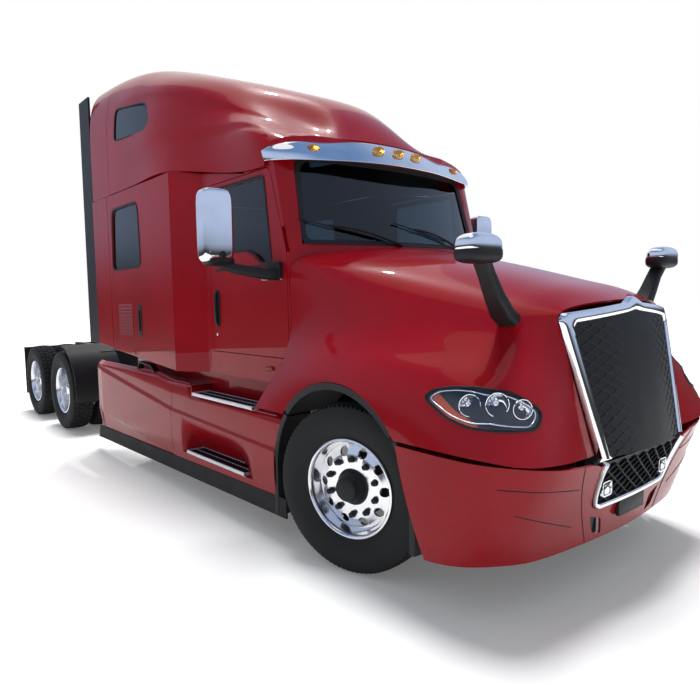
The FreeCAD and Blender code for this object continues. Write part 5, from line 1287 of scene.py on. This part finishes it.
@dataclass
class Grille(Assembly):
    """Chrome surround and the wavy black lattice behind it."""

    nose_y: float = -1.192
    lean: float = 0.174
    bow: float = 0.1
    rows: int = 26
    wave: float = 0.11
    top: float = 1.56
    bottom: float = 0.8
    top_x: float = 0.59
    bottom_x: float = 0.473
    band: float = 0.052

    def surface(self, x: Points, z: Points, offset: float = 0.0) -> Points:
        """Nose: leans back with its height and bows forward by a square law across the truck."""
        bow = self.bow * (1 - (x / 0.6) ** 2)
        return np.stack([x, self.nose_y - bow + (z - 0.791) * self.lean - offset, z], -1)

    def build(self) -> None:
        """Make the lattice and the surround."""
        self.build_surround()
        self.build_lattice()

    def edge(self, inset: float) -> Points:
        """Outline of the opening, moved in: two sides, and a top with a low peak."""
        t, b, x, w = self.top - inset, self.bottom, self.top_x - inset, self.bottom_x - inset
        return np.array([(w, b), (x - 0.004, t - 0.06), (x - 0.03, t - 0.028), (0.09, t + 0.012),
                         (0.0, t + 0.05 - inset * 0.5), (-0.09, t + 0.012), (0.03 - x, t - 0.028),
                         (0.004 - x, t - 0.06), (-w, b)])

    def build_surround(self) -> None:
        """Chrome band: a rounded section carried round the opening's sides and top."""
        outer, inner = self.edge(0.0), self.edge(self.band)
        rings = [evened(line, 160) for line in (outer, inner)]
        share = np.array([0.0, 0.0, 0.12, 0.5, 0.88, 1.0, 1.0])[None, :, None]
        lift = np.array([-0.022, 0.004, 0.014, 0.018, 0.014, 0.004, -0.022])[None, :]
        across = rings[0][:, None] * (1 - share) + rings[1][:, None] * share
        points = self.surface(across[..., 0], across[..., 1]) - lift[..., None] * np.array([0.0, 1.0, 0.0])
        band = Shell().loft(points)
        self.workshop.stand("grille_band", band, "chrome", "hood", ["grille_surround"], 60.0)

    def build_lattice(self) -> None:
        """Rows of bars that swing to and fro, each against its neighbours, over a dark backing."""
        bars = []
        for row in range(self.rows):
            z0 = 0.812 + row * 0.7 / (self.rows - 1)
            share = (self.top_x - self.bottom_x) * (z0 - self.bottom) / (self.top - self.bottom)
            half = self.bottom_x + share - 0.045
            x = np.linspace(-half, half, 121)
            swing = 0.0125 * np.cos(x * 2 * math.pi / self.wave + math.pi * (row % 2))
            z = z0 + swing * np.cos(np.clip((np.abs(x) - half + 0.02) / 0.02, 0, 1) * math.pi / 2)
            section = oblong(0.004, 0.0075, 0.003, 2)
            path = self.surface(x, np.minimum(z, 1.545), -0.0056)
            bars.append(sweep(path, section[:, ::-1]))
        self.workshop.stand("grille_lattice", joined(*bars), "black_plastic", "hood", sharp=50.0)


def ring_between(outline: Points, inset: float, axis: int, low: float, high: float) -> Shell:
    """Closed band between an outline and the same one moved inwards, from `low` to `high` along `axis`."""
    ahead = np.roll(outline, -1, 0) - np.roll(outline, 1, 0)
    ahead /= np.linalg.norm(ahead, axis=1, keepdims=True)
    inward = np.stack([-ahead[:, 1], ahead[:, 0]], -1)
    area = (outline[:, 0] * np.roll(outline[:, 1], -1) - outline[:, 1] * np.roll(outline[:, 0], -1)).sum()
    inner = outline + inward * inset * np.sign(area)
    rings = np.insert(np.stack([outline, outline, inner, inner], 1), axis, 0.0, axis=2)
    rings[:, (0, 3), axis], rings[:, (1, 2), axis] = low, high
    return Shell().grid(rings, wrap_u=True, wrap_v=True)


@dataclass
class Lamps(Assembly):
    """Headlamps set into the hood: clear cover, chrome bezel, dark bowl, reflectors and an amber strip."""

    hood: Hood
    amber: Outline = ((0.345, 1.128), (0.305, 1.165), (0.27, 1.15), (0.2, 1.075), (0.12, 1.03),
                      (0.1, 1.012), (0.155, 1.01), (0.25, 1.047))
    beams: tuple[Triple, ...] = ((0.135, 1.105, 0.052), (0.01, 1.112, 0.056), (-0.108, 1.088, 0.046))

    def build(self) -> None:
        """Make each layer on the left and its mirror image on the right."""
        work, root = self.workshop, math.sqrt(0.5)
        drape = Drape(self.hood.net, ((root, root, 0.0), (0.0, 0.0, 1.0)))
        outline, amber = self.hood.lamp_outline, rounded(self.amber, 0.012, 4)
        self.layer(-0.002, -0.006, outline(0.002), "headlamp_cover", "lamp_glass", 50.0, ["headlamps"])
        rim, line = evened(outline(0.003), 120, True), evened(outline(0.030), 120, True)
        seal = loop(drape.at(rim, -0.003), circle(0.008, 10)).doubled()
        work.stand("headlamp_seal", seal, "black_plastic", "hood", sharp=60.0)
        bezel = joined(loop(drape.at(line, -0.012), circle(0.0045, 8)),
                       *(self.reflector(drape, *beam) for beam in self.beams))
        work.stand("headlamp_bright", bezel.doubled(), "chrome", "hood", sharp=60.0)
        self.layer(-0.042, -0.045, outline(0.02), "headlamp_pan", "cast_iron")
        self.layer(-0.021, -0.023, amber, "headlamp_marker_backing", "chrome")
        rings = np.stack([drape.at(rim, offset) for offset in (-0.007, -0.03, -0.055)], 1)
        bowl = work.outward(Shell().grid(rings, wrap_u=True).doubled().mesh("headlamp_bowl"))
        work.finish(work.thicken(bowl, 0.002), "black_plastic", "hood", (), 40.0)
        self.layer(-0.055, -0.058, outline(0.0), "headlamp_back", "black_plastic")
        self.layer(-0.012, -0.02, amber, "headlamp_side_marker", "amber", 50.0)

    def layer(self, outer: float, inner: float, outline: Points, name: str, slot: str, sharp: float = 40.0,
              replaces: Sequence[str] = ()) -> None:
        """Finish a part of the hood's surface, moved inwards and cut to an outline, on both sides.

        Args:
            outer: Offset of its outer face from the hood's surface.
            inner: Offset of its inner face.
            outline: Where it is cut, as (along, height).
            name: Name of the piece.
            slot: Finish and material slot.
            sharp: Angle in degrees from which an edge stays sharp.
            replaces: CAD nodes that it stands for.
        """
        patches = [self.hood.net.sample(361, 241, offset)[276:, :132] for offset in (outer, inner)]
        made = self.workshop.outward(slab(*patches).mesh(name))
        self.workshop.carve(made, self.hood.lamp_prism(outline), "INTERSECT")
        mirror = made.modifiers.new("sides", "MIRROR")
        mirror.use_axis, mirror.use_mirror_merge = (True, False, False), False
        self.workshop.finish(self.workshop.settle(made), slot, "hood", replaces, sharp)

    def reflector(self, drape: Drape, along: float, height: float, radius: float) -> Shell:
        """Deep round bowl with a bulb cap, that looks ahead and a little outwards."""
        at = drape.at(np.array([[along, height]]), -0.016)[0]
        profile = [(0.0, radius + 0.003), (0.0, radius), (-0.012, radius * 0.94), (-0.03, radius * 0.7),
                   (-0.04, radius * 0.3), (-0.04, 0.0002), (-0.043, 0.0002), (-0.043, radius * 0.35),
                   (-0.032, radius * 0.78), (-0.012, radius + 0.003)]
        bulb = [(-0.04, 0.0002), (-0.04, radius * 0.3), (-0.016, radius * 0.26),
                (-0.011, radius * 0.16), (-0.01, 0.0002)]
        return placed(joined(lathe(profile, 40), lathe(bulb, 24)), at, -58.0)


@dataclass
class Arches(Assembly):
    """Dark wheel-arch liners with a flat rim: the hood carries their upper part, the chassis the lower."""

    inner: float = 0.588
    outer: float = 0.628
    middle_x: float = 1.09

    def build(self) -> None:
        """Make the upper liners, and the lower ones before and behind the wheels."""
        work = self.workshop
        upper = self.arc(40.0, 140.0, 0.80, 1.195).doubled()
        work.stand("arch_liners", upper, "black_plastic", "hood", ["wheel_liners"])
        lower = joined(self.leg(38.0, 0.18, 1.0), self.leg(37.0, 0.3, -1.0)).doubled()
        work.stand("arch_liner_ends", lower, "black_plastic")

    def leg(self, first: float, low: float, way: float) -> Shell:
        """Lower liner: follows the ring down to the hub's height, then drops straight.

        Args:
            first: Angle above the hub where it starts, in degrees.
            low: Height of its lower end.
            way: 1 behind the wheel, -1 before it.

        Returns:
            The closed leg.
        """
        middle = (self.inner + self.outer) / 2
        turn = np.radians(np.linspace(first, 0.0, 20))
        x = self.middle_x
        bend = np.stack([0 * turn + x, way * middle * np.cos(turn), HUB_Z + middle * np.sin(turn)], -1)
        drop = np.stack([np.full(8, x), np.full(8, way * middle), np.linspace(HUB_Z - 0.04, low, 8)], -1)
        half = (self.outer - self.inner) / 2
        section = oblong(0.1, half, 0.008)
        return sweep(np.vstack([bend, drop]), section, (0.0, 1.0, 0.0))

    def arc(self, first: float, last: float, near: float, far: float) -> Shell:
        """Liner barrel between two angles, in degrees from the rear, with a rim at its outer end."""
        turn = np.radians(np.linspace(first, last, 65))[:, None]
        section = np.array([(near, self.inner + 0.006), (far, self.inner), (far, self.outer),
                            (far - 0.006, self.outer), (far - 0.008, self.inner + 0.008),
                            (near, self.inner + 0.012)])
        radius, x = section[None, :, 1] + 0 * turn, section[None, :, 0] + 0 * turn
        return Shell().loft(np.stack([x, radius * np.cos(turn), HUB_Z + radius * np.sin(turn)], -1))


@dataclass
class LowerGrille(Assembly):
    """Bumper's centre: wavy lattice, chrome frame, fog lamps and the bare plate."""

    bumper: Bumper

    def build(self) -> None:
        """Make the parts that stand in the bumper's mouth."""
        work = self.workshop
        drape = Drape(self.bumper.net, ((1.0, 0.0, 0.0), (0.0, 0.0, 1.0)), False)
        corners = np.array([(0.455, 0.775), (0.447, 0.72), (0.418, 0.57), (0.4, 0.53), (0.36, 0.512),
                            (0.0, 0.51), (-0.36, 0.512), (-0.4, 0.53), (-0.418, 0.57), (-0.447, 0.72),
                            (-0.455, 0.775)])
        path = drape.at(evened(corners, 120), 0.0)
        section = rounded([(-0.012, -0.016), (0.01, -0.016), (0.016, 0.0), (0.01, 0.016),
                           (-0.012, 0.016)], 0.006, 3)
        frame = sweep(path, section, (0.0, -1.0, 0.0))
        work.stand("lower_grille_frame", frame, "chrome", sharp=50.0)
        bars = []
        for row in range(7):
            z0 = 0.545 + row * 0.032
            half = 0.40 + (z0 - 0.545) * 0.15
            x = np.linspace(-half, half, 101)
            z = z0 + 0.0125 * np.cos(x * 2 * math.pi / Grille.wave + math.pi * (row % 2))
            line = oblong(0.0075, 0.004, 0.003, 2)
            bars.append(sweep(drape.at(np.stack([x, z], -1), -0.006), line))
        work.stand("lower_grille_lattice", joined(*bars), "black_plastic", sharp=50.0)
        self.build_lamps()

    def build_lamps(self) -> None:
        """Fog lamps with chrome rims and clear lenses, and the plate below the frame."""
        work = self.workshop
        outline = rectangle((0.285, 0.57), (0.385, 0.65), 0.022)
        rim = ring_between(outline, 0.01, 1, -1.195, -1.165).doubled()
        bowl = prism(outline * 0.97 + np.array([0.01, 0.018]), 1, -1.178, -1.168).doubled()
        work.stand("fog_lamp_rims", joined(rim, bowl), "chrome", sharp=50.0)
        lens = pillow((0.335, -1.185, 0.61), (0.046, 0.014, 0.036), (5.0, 5.0), 40).doubled()
        work.stand("fog_lamp_lenses", lens, "lamp_glass", "chassis", ["fog_lamps"], 60.0)
        plate = bar((-0.15, -1.172, 0.405), (0.15, -1.15, 0.495), 1, 0.012)
        work.finish(work.soften(work.outward(plate.mesh("plate_holder")), 0.003), "black_plastic",
                    "chassis", (), 50.0)


@dataclass
class Sides(Assembly):
    """Trim on the doors and the sleeper: gaskets, handles, louvres, marker lamps and seams."""

    door_window: Outline = ((0.83, 1.9), (0.95, 1.895), (1.03, 1.955), (1.145, 2.0), (1.595, 2.01),
                            (1.595, 2.475), (1.575, 2.49), (0.9, 2.487))
    sleeper_window: Outline = ((3.37, 1.965), (3.4, 2.0), (3.36, 2.505), (3.325, 2.54),
                               (2.78, 2.54), (2.735, 2.5), (2.71, 2.005), (2.745, 1.965))

    def build(self) -> None:
        """Make the doors' trim on each side, then the sleeper's."""
        for side in Side:
            self.build_door(side)
        self.build_sleeper()

    def build_door(self, side: Side) -> None:
        """Window gasket, sill strip, pull handle and lock of one door."""
        work, body = self.workshop, f"door_{side.word}"
        outline = rounded(self.door_window, 0.03, 4)
        gasket = ring_between(outline, -0.016, 0, 1.0255, 1.034)
        cup = pillow((1.032, 1.60, 1.565), (0.006, 0.042, 0.15), (6.0, 4.0), 40)
        pull = sweep(np.array([(1.036, 1.6, 1.43), (1.05, 1.6, 1.455), (1.054, 1.6, 1.565),
                               (1.05, 1.6, 1.675), (1.036, 1.6, 1.70)]), oblong(0.014, 0.007, 0.005),
                     (1.0, 0.0, 0.0))
        sill = bar((1.0305, 0.86, 1.86), (1.036, 1.62, 1.875), 1, 0.003)
        black = joined(gasket, cup, pull, sill).on(side)
        work.stand(f"door_trim_{side.word}", black, "black_plastic", body)
        lock = pillow((1.0315, 1.62, 1.36), (0.004, 0.013, 0.013), (2.0, 2.0), 20)
        strip = bar((1.0305, 0.70, 1.7665), (1.0345, 0.95, 1.7745), 1, 0.002)
        work.stand(f"door_bright_{side.word}", joined(lock, strip).on(side), "chrome", body)

    def build_sleeper(self) -> None:
        """Window gaskets, louvres, storage hatch and handle, panel seams and side markers."""
        work = self.workshop
        outline = rounded(self.sleeper_window, 0.04, 4)
        parts, lips = [ring_between(outline, -0.018, 0, 1.196, 1.2045)], []
        for row in range(9):
            z = 1.318 + row * 0.034
            parts.append(prism(rectangle((2.95, z - 0.009), (3.29, z + 0.009), 0.007),
                               0, 1.1995, 1.2015))
            lip = np.array([(1.2, z + 0.008), (1.2, z + 0.022), (1.2065, z + 0.002), (1.2055, z - 0.001)])
            lips.append(prism(lip, 1, 2.945, 3.295))
        parts += [bar((1.1995, 2.735, 1.30), (1.2035, 2.825, 1.612), 0, 0.02),
                  bar((1.2, 2.77, 1.36), (1.214, 2.79, 1.55), 0, 0.006),
                  ring_between(rectangle((2.68, 1.25), (3.37, 1.67), 0.03), 0.004, 0, 1.1995, 1.2006),
                  bar((1.1995, 2.05, 1.197), (1.2006, 3.408, 1.202), 1, 0.0005),
                  bar((1.1995, 3.408, 1.10), (1.2006, 3.413, 2.695), 2, 0.0005)]
        drape = Drape(Roof.net, ((0.0, 1.0, 0.0), (0.0, 0.0, 1.0)))
        upper = evened(rounded(Roof.window, 0.05), 90, True)
        parts.append(loop(drape.at(upper, -0.002), circle(0.0085, 8)))
        seam = drape.at(np.stack([np.full(60, 3.411), np.linspace(2.72, 3.72, 60)], -1), -0.0015)
        parts.append(sweep(seam, circle(0.0026, 8), (0.0, 1.0, 0.0)))
        work.stand("sleeper_trim", joined(*parts).doubled(), "black_plastic")
        work.stand("sleeper_louvres", joined(*lips).doubled(), "red_paint")
        lamps = joined(pillow((1.2035, 2.938, 1.152), (0.012, 0.026, 0.026), (2.0, 2.0), 28),
                       pillow((1.036, 0.875, 1.14), (0.014, 0.045, 0.017), (3.0, 3.0), 28)).doubled()
        work.stand("side_markers", lamps, "amber", sharp=50.0)


@dataclass
class Fairings(Assembly):
    """Lower side panels: creased and pocketed round the steps, with shelves behind their upper edges."""

    face_x: float = 1.2
    wall: float = 0.006
    pocket: float = 0.14
    split_y: float = 2.19
    rear_y: float = 2.196
    tread_x: float = 1.208

    def build(self) -> None:
        """Make both panels of each side, the shelves and the steps."""
        work = self.workshop
        for name, grid in (("front", self.front()), ("rear", self.rear())):
            outer, inner = grid, grid - np.array([self.wall, 0.0, 0.0])
            nodes = ["fairings"] if name == "front" else ()
            work.stand(f"fairing_{name}", slab(outer, inner).doubled(), "red_paint", "chassis", nodes, 35.0)
        shelves = joined(bar((0.93, 1.86, 0.918), (1.16, 4.05, 0.928)),
                         bar((0.93, 0.62, 0.848), (1.165, 1.87, 0.858)),
                         bar((0.955, 0.70, 0.858), (0.965, 3.46, 1.085)),
                         bar((0.94, 1.86, 0.85), (1.16, 1.872, 0.925)),
                         bar((1.05, 0.98, 0.352), (1.195, 1.9, 0.362))).doubled()
        work.stand("fairing_shelves", shelves, "red_paint")
        bracket = sweep(np.array([(1.12, 2.63, 0.975), (1.13, 2.70, 1.035), (1.13, 2.95, 1.05),
                                  (1.12, 3.02, 0.985)]), oblong(0.03, 0.009, 0.006)).doubled()
        work.stand("fairing_grabs", bracket, "black_plastic")
        self.build_steps()

    def front(self) -> Points:
        """Front panel: a crease climbs from the arch to the upper step's rear, over a pocket."""
        u, v = np.linspace(0.0, 1.0, 141)[:, None], np.linspace(0.0, 1.0, 81)[None, :]
        y = 0.6 + 1.59 * u + 0 * v
        top = 0.862 + 0.08 * ease(y, 1.86, 1.95)
        bottom = 0.312 - 0.027 * u
        z = bottom + (top - bottom) * v
        start = 0.616 - 0.075 * ease(z, 0.62, 0.86)
        y = start + (self.split_y - start) * u
        crease = 0.615 + 0.045 * (y - 0.62)
        above = np.clip(z - crease, 0.0, 1.0)
        share = ease(y, 0.86, 1.25) * (1 - ease(y, 1.93, 2.0))
        under = np.clip((crease - z) / (crease - 0.392), 0.0, 1.0)
        deep = share * self.pocket * ease(under, 0.0, 0.9) * (z > 0.36)
        crown = 0.018 * (1 - ease(z, 0.285, 0.45)) + 0.35 * above ** 2 + 0.03 * ease(z - top, -0.035, 0.0)
        return np.stack([self.face_x - 0.012 * ease(above, 0.0, 0.02) - deep - crown, y, z], -1)

    def rear(self) -> Points:
        """Rear panel: its upper part leans in above a crease that falls to the rear."""
        u, v = np.linspace(0.0, 1.0, 121)[:, None], np.linspace(0.0, 1.0, 61)[None, :]
        y = self.rear_y + 1.9 * u + 0 * v
        top = 0.943 + 0.043 * ease(y, self.rear_y, 2.61) + 0.009 * ease(y, 2.61, 4.1)
        bottom = 0.285 - 0.025 * u
        z = bottom + (top - bottom) * v
        crease, low = 0.686 + 0.125 * (y - self.rear_y), 0.32 + 0.06 * (y - self.rear_y)
        above = np.clip(z - crease, 0.0, 1.0)
        tuck = (0.012 * ease(above, 0.0, 0.02) + 0.35 * above ** 2 + 0.035 * ease(z - top, -0.04, 0.0)
                + 0.018 * (1 - ease(z, 0.285, 0.45)) + 0.006 * ease(low - z, -0.004, 0.004))
        return np.stack([self.face_x - tuck - 0.02 * ease(y, 3.9, 4.1), y, z], -1)

    def build_steps(self) -> None:
        """Two treads a side: a bright rail all round, dark teeth, and under them a dark pan of painted
        shade.
        """
        bars, teeth_and_shade_pans, far = [], [], self.tread_x
        for first, last, z in ((0.85, 1.77, 0.864), (0.98, 1.90, 0.364)):
            bars += [bar((far - 0.012, first, z), (far, last, z + 0.026), 1, 0.004),
                     bar((1.05, first, z), (1.06, last, z + 0.026), 1, 0.004),
                     bar((1.05, first, z), (far, first + 0.012, z + 0.026), 0, 0.004),
                     bar((1.05, last - 0.012, z), (far, last, z + 0.026), 0, 0.004),
                     bar((1.125, first, z), (1.133, last, z + 0.025), 1, 0.002)]
            for y in np.arange(first + 0.03, last - 0.02, 0.04):
                tooth = np.array([(y - 0.010, z + 0.006), (y + 0.010, z + 0.006),
                                  (y + 0.010, z + 0.021), (y + 0.005, z + 0.025), (y, z + 0.022),
                                  (y - 0.005, z + 0.025), (y - 0.010, z + 0.021)])
                teeth_and_shade_pans.append(prism(tooth, 0, 1.058, far - 0.01))
            # dark pan under the teeth: painted shade that shows in the gaps between them
            teeth_and_shade_pans.append(bar((1.052, first + 0.004, z + 0.001), (far - 0.004, last - 0.004, z + 0.006),
                            1, 0.001))
        work = self.workshop
        work.stand("step_treads", joined(*bars).doubled(), "aluminium", "chassis", ["steps"], 30.0)
        work.stand("step_pans", joined(*teeth_and_shade_pans).doubled(), "black_plastic", sharp=30.0)


@dataclass
class Interior(Assembly):
    """What shows through the glass: seats, bunk, steering wheel, and the windscreen's edge and wipers."""

    wheel_tilt: float = -35.0
    wheel_centre: Triple = (0.52, 0.96, 1.85)

    def build(self) -> None:
        """Make the padding, the wheel and the windscreen's trim."""
        self.build_seats()
        self.build_bunk()
        self.build_steering()
        self.build_windscreen()

    def build_seats(self) -> None:
        """Cushion, bolsters, backrest and headrest of both seats, on a base."""
        parts = [pillow(*row) for row in (
            ((0.52, 1.30, 1.50), (0.25, 0.26, 0.075), (4.0, 3.0), 56),
            ((0.52, 1.605, 1.90), (0.235, 0.07, 0.385), (4.0, 3.4), 56),
            ((0.30, 1.30, 1.53), (0.045, 0.23, 0.06), (3.0, 2.4), 32),
            ((0.74, 1.30, 1.53), (0.045, 0.23, 0.06), (3.0, 2.4), 32),
            ((0.32, 1.585, 1.88), (0.045, 0.08, 0.32), (2.6, 3.0), 32),
            ((0.72, 1.585, 1.88), (0.045, 0.08, 0.32), (2.6, 3.0), 32),
            ((0.52, 1.60, 2.235), (0.13, 0.05, 0.08), (3.0, 3.0), 40))]
        work = self.workshop
        work.stand("seat_padding", joined(*parts).doubled(), "fabric", "chassis", ["seats"],
                             60.0)
        base = bar((0.30, 1.07, 1.10), (0.74, 1.55, 1.43), 2, 0.03).doubled()
        work.finish(work.soften(work.outward(base.mesh("seat_bases")), 0.012), "black_plastic",
                    "chassis", (), 40.0)

    def build_bunk(self) -> None:
        """Mattress with rounded edges on a box."""
        work = self.workshop
        mattress = pillow((0.0, 3.005, 1.56), (1.135, 0.44, 0.085), (12.0, 4.0), 72)
        work.stand("bunk_mattress", mattress, "fabric", "chassis", ["bunk"], 60.0)
        box = bar((-1.13, 2.57, 1.21), (1.13, 3.44, 1.49), 2, 0.02)
        work.stand("bunk_box", box, "black_plastic")

    def build_steering(self) -> None:
        """Rim, three spokes, hub and column, tilted towards the driver."""
        turn = np.linspace(0.0, 2 * np.pi, 72, endpoint=False)
        rim = loop(np.stack([0.215 * np.cos(turn), 0.215 * np.sin(turn), 0 * turn], -1),
                   circle(0.016, 12), (0.0, 0.0, 1.0))
        spokes = [sweep(np.array([(0.0, 0.0, -0.02), (0.1 * math.cos(a), 0.1 * math.sin(a), -0.015),
                                  (0.212 * math.cos(a), 0.212 * math.sin(a), 0.0)]),
                        oblong(0.02, 0.006, 0.004))
                  for a in (0.0, math.pi, -math.pi / 2)]
        hub = pillow((0.0, 0.0, -0.018), (0.07, 0.06, 0.025), (3.0, 3.0), 32)
        column = Shell().loft(np.stack([np.insert(circle(0.034, 24), 2, z, axis=1)
                                        for z in (-0.26, -0.02)]))
        whole = joined(rim, *spokes, hub, column)
        c, d = math.cos(math.radians(self.wheel_tilt)), math.sin(math.radians(self.wheel_tilt))
        tilt = np.array([[1.0, 0.0, 0.0], [0.0, c, d], [0.0, -d, c]])
        made = Shell().add(whole.cloud @ tilt + np.array(self.wheel_centre), whole.faces)
        self.workshop.stand("steering_wheel_look", made, "wheel_rim_plastic", "chassis",
                            ["steering_wheel"], 50.0)

    @staticmethod
    def screen(x: Points, z: Points, offset: float) -> Points:
        """Points of the cab's bowed, raked front, moved outwards."""
        t = (z - 1.945) / 0.835
        corner, nose = 0.625 + 0.195 * t, 0.43 + 0.26 * t
        rise = corner - nose
        radius = (DOOR_X ** 2 + rise ** 2) / (2 * rise)
        y = nose + radius - np.sqrt(radius ** 2 - x ** 2)
        return np.stack([x, y - offset, z], -1)

    def build_windscreen(self) -> None:
        """Black edge band on the glass and two wipers at rest."""
        work = self.workshop
        outline = evened(rounded([(0.927, 2.0), (0.886, 2.56), (0.824, 2.615), (-0.824, 2.615),
                                  (-0.886, 2.56), (-0.927, 2.0)], 0.05), 220, True)
        middle = np.array([0.0, 2.3])
        shrink = middle + (outline - middle) * np.array([0.955, 0.90])
        band = ((outline, -0.012), (outline, 0.004), (shrink, -0.0085), (shrink, -0.0125))
        rings = np.stack([self.screen(line[:, 0], line[:, 1], offset) for line, offset in band], 1)
        parts = [Shell().grid(rings, wrap_u=True, wrap_v=True)]
        for pivot, tip in ((0.62, 0.05), (-0.12, -0.72)):
            x = np.linspace(pivot, tip, 24)
            arm = self.screen(x, 2.0 + 0.13 * np.sin(np.linspace(0.0, 1.5, 24)), 0.012)
            blade = self.screen(np.linspace(tip + 0.36, tip - 0.2, 30), np.linspace(2.055, 2.17, 30), 0.004)
            flat = oblong(0.006, 0.004, 0.002, 3)
            parts += [sweep(arm, flat * 1.6), sweep(blade, flat)]
        work.stand("windscreen_trim", joined(*parts), "black_plastic")


@dataclass
class Backs(Assembly):
    """Hidden structure of the replaced panels: the hood's neck arms and the roof's rear wall."""

    reach: float = 0.345

    def build(self) -> None:
        """Make the arms with their bosses and pins, and the wall."""
        work = self.workshop
        turn = np.radians(180.0 - np.linspace(28.0, 104.0, 40))
        _, y, z = HOOD_PIVOT
        path = np.stack([0 * turn + 0.491, y - self.reach * np.cos(turn), z + self.reach
                         * np.sin(turn)], -1)
        section = oblong(0.014, 0.014, 0.004, 3)
        turned = [placed(lathe([(near, 0.0002), (near, radius), (far, radius), (far, 0.0002)], steps),
                         HOOD_PIVOT) for near, far, radius, steps in ((0.477, 0.505, 0.024, 32),
                                                                      (0.427, 0.497, 0.0138, 24))]
        arms = joined(sweep(path, section, (1.0, 0.0, 0.0)), *turned).doubled()
        work.stand("hood_necks", arms, "black_steel", "hood")
        grid = Roof.net.sample(121, 91, -0.024)
        rim = np.array([[np.interp(3.49, row[:, 1], row[:, k]) for k in (0, 2)] for row in grid])
        wall = prism(rim, 1, 3.475, 3.495)
        work.stand("roof_rear_wall", wall, "red_paint")


@dataclass
class Chassis(Assembly):
    """CAD nodes that keep their shape: frame, axles, panels and glass."""

    edges: tuple[tuple[str, float], ...] = (("sleeper", 0.010), ("cab", 0.004), ("side_extenders", 0.006),
                                            ("door_left", 0.003), ("door_right", 0.003))

    def build(self) -> None:
        """Dress every node by the record's slot, unless a piece stands for it; some take round edges."""
        widths = dict(self.edges)
        for row in self.workshop.frame["record"]["subparts"]:
            name = row["node"]
            if not self.workshop.frame["nodes"][name].hide_render:
                self.workshop.dress_node(name, row["material_slot"], widths.get(name, 0.0))


def main() -> None:
    """Build the truck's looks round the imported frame."""
    logging.basicConfig(level=logging.INFO, format="%(message)s")
    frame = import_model()
    workshop = Workshop(frame)
    Studio().build()
    hood, bumper = Hood(workshop), Bumper(workshop)
    for assembly in (hood, Lamps(workshop, hood), Arches(workshop), Roof(workshop), bumper,
                     Grille(workshop), LowerGrille(workshop, bumper), Wheels(workshop),
                     Visor(workshop), Mirrors(workshop), Sides(workshop), Fairings(workshop),
                     Interior(workshop), Backs(workshop)):
        assembly.build()
    Chassis(workshop).build()


if __name__ == "__main__":
    main()
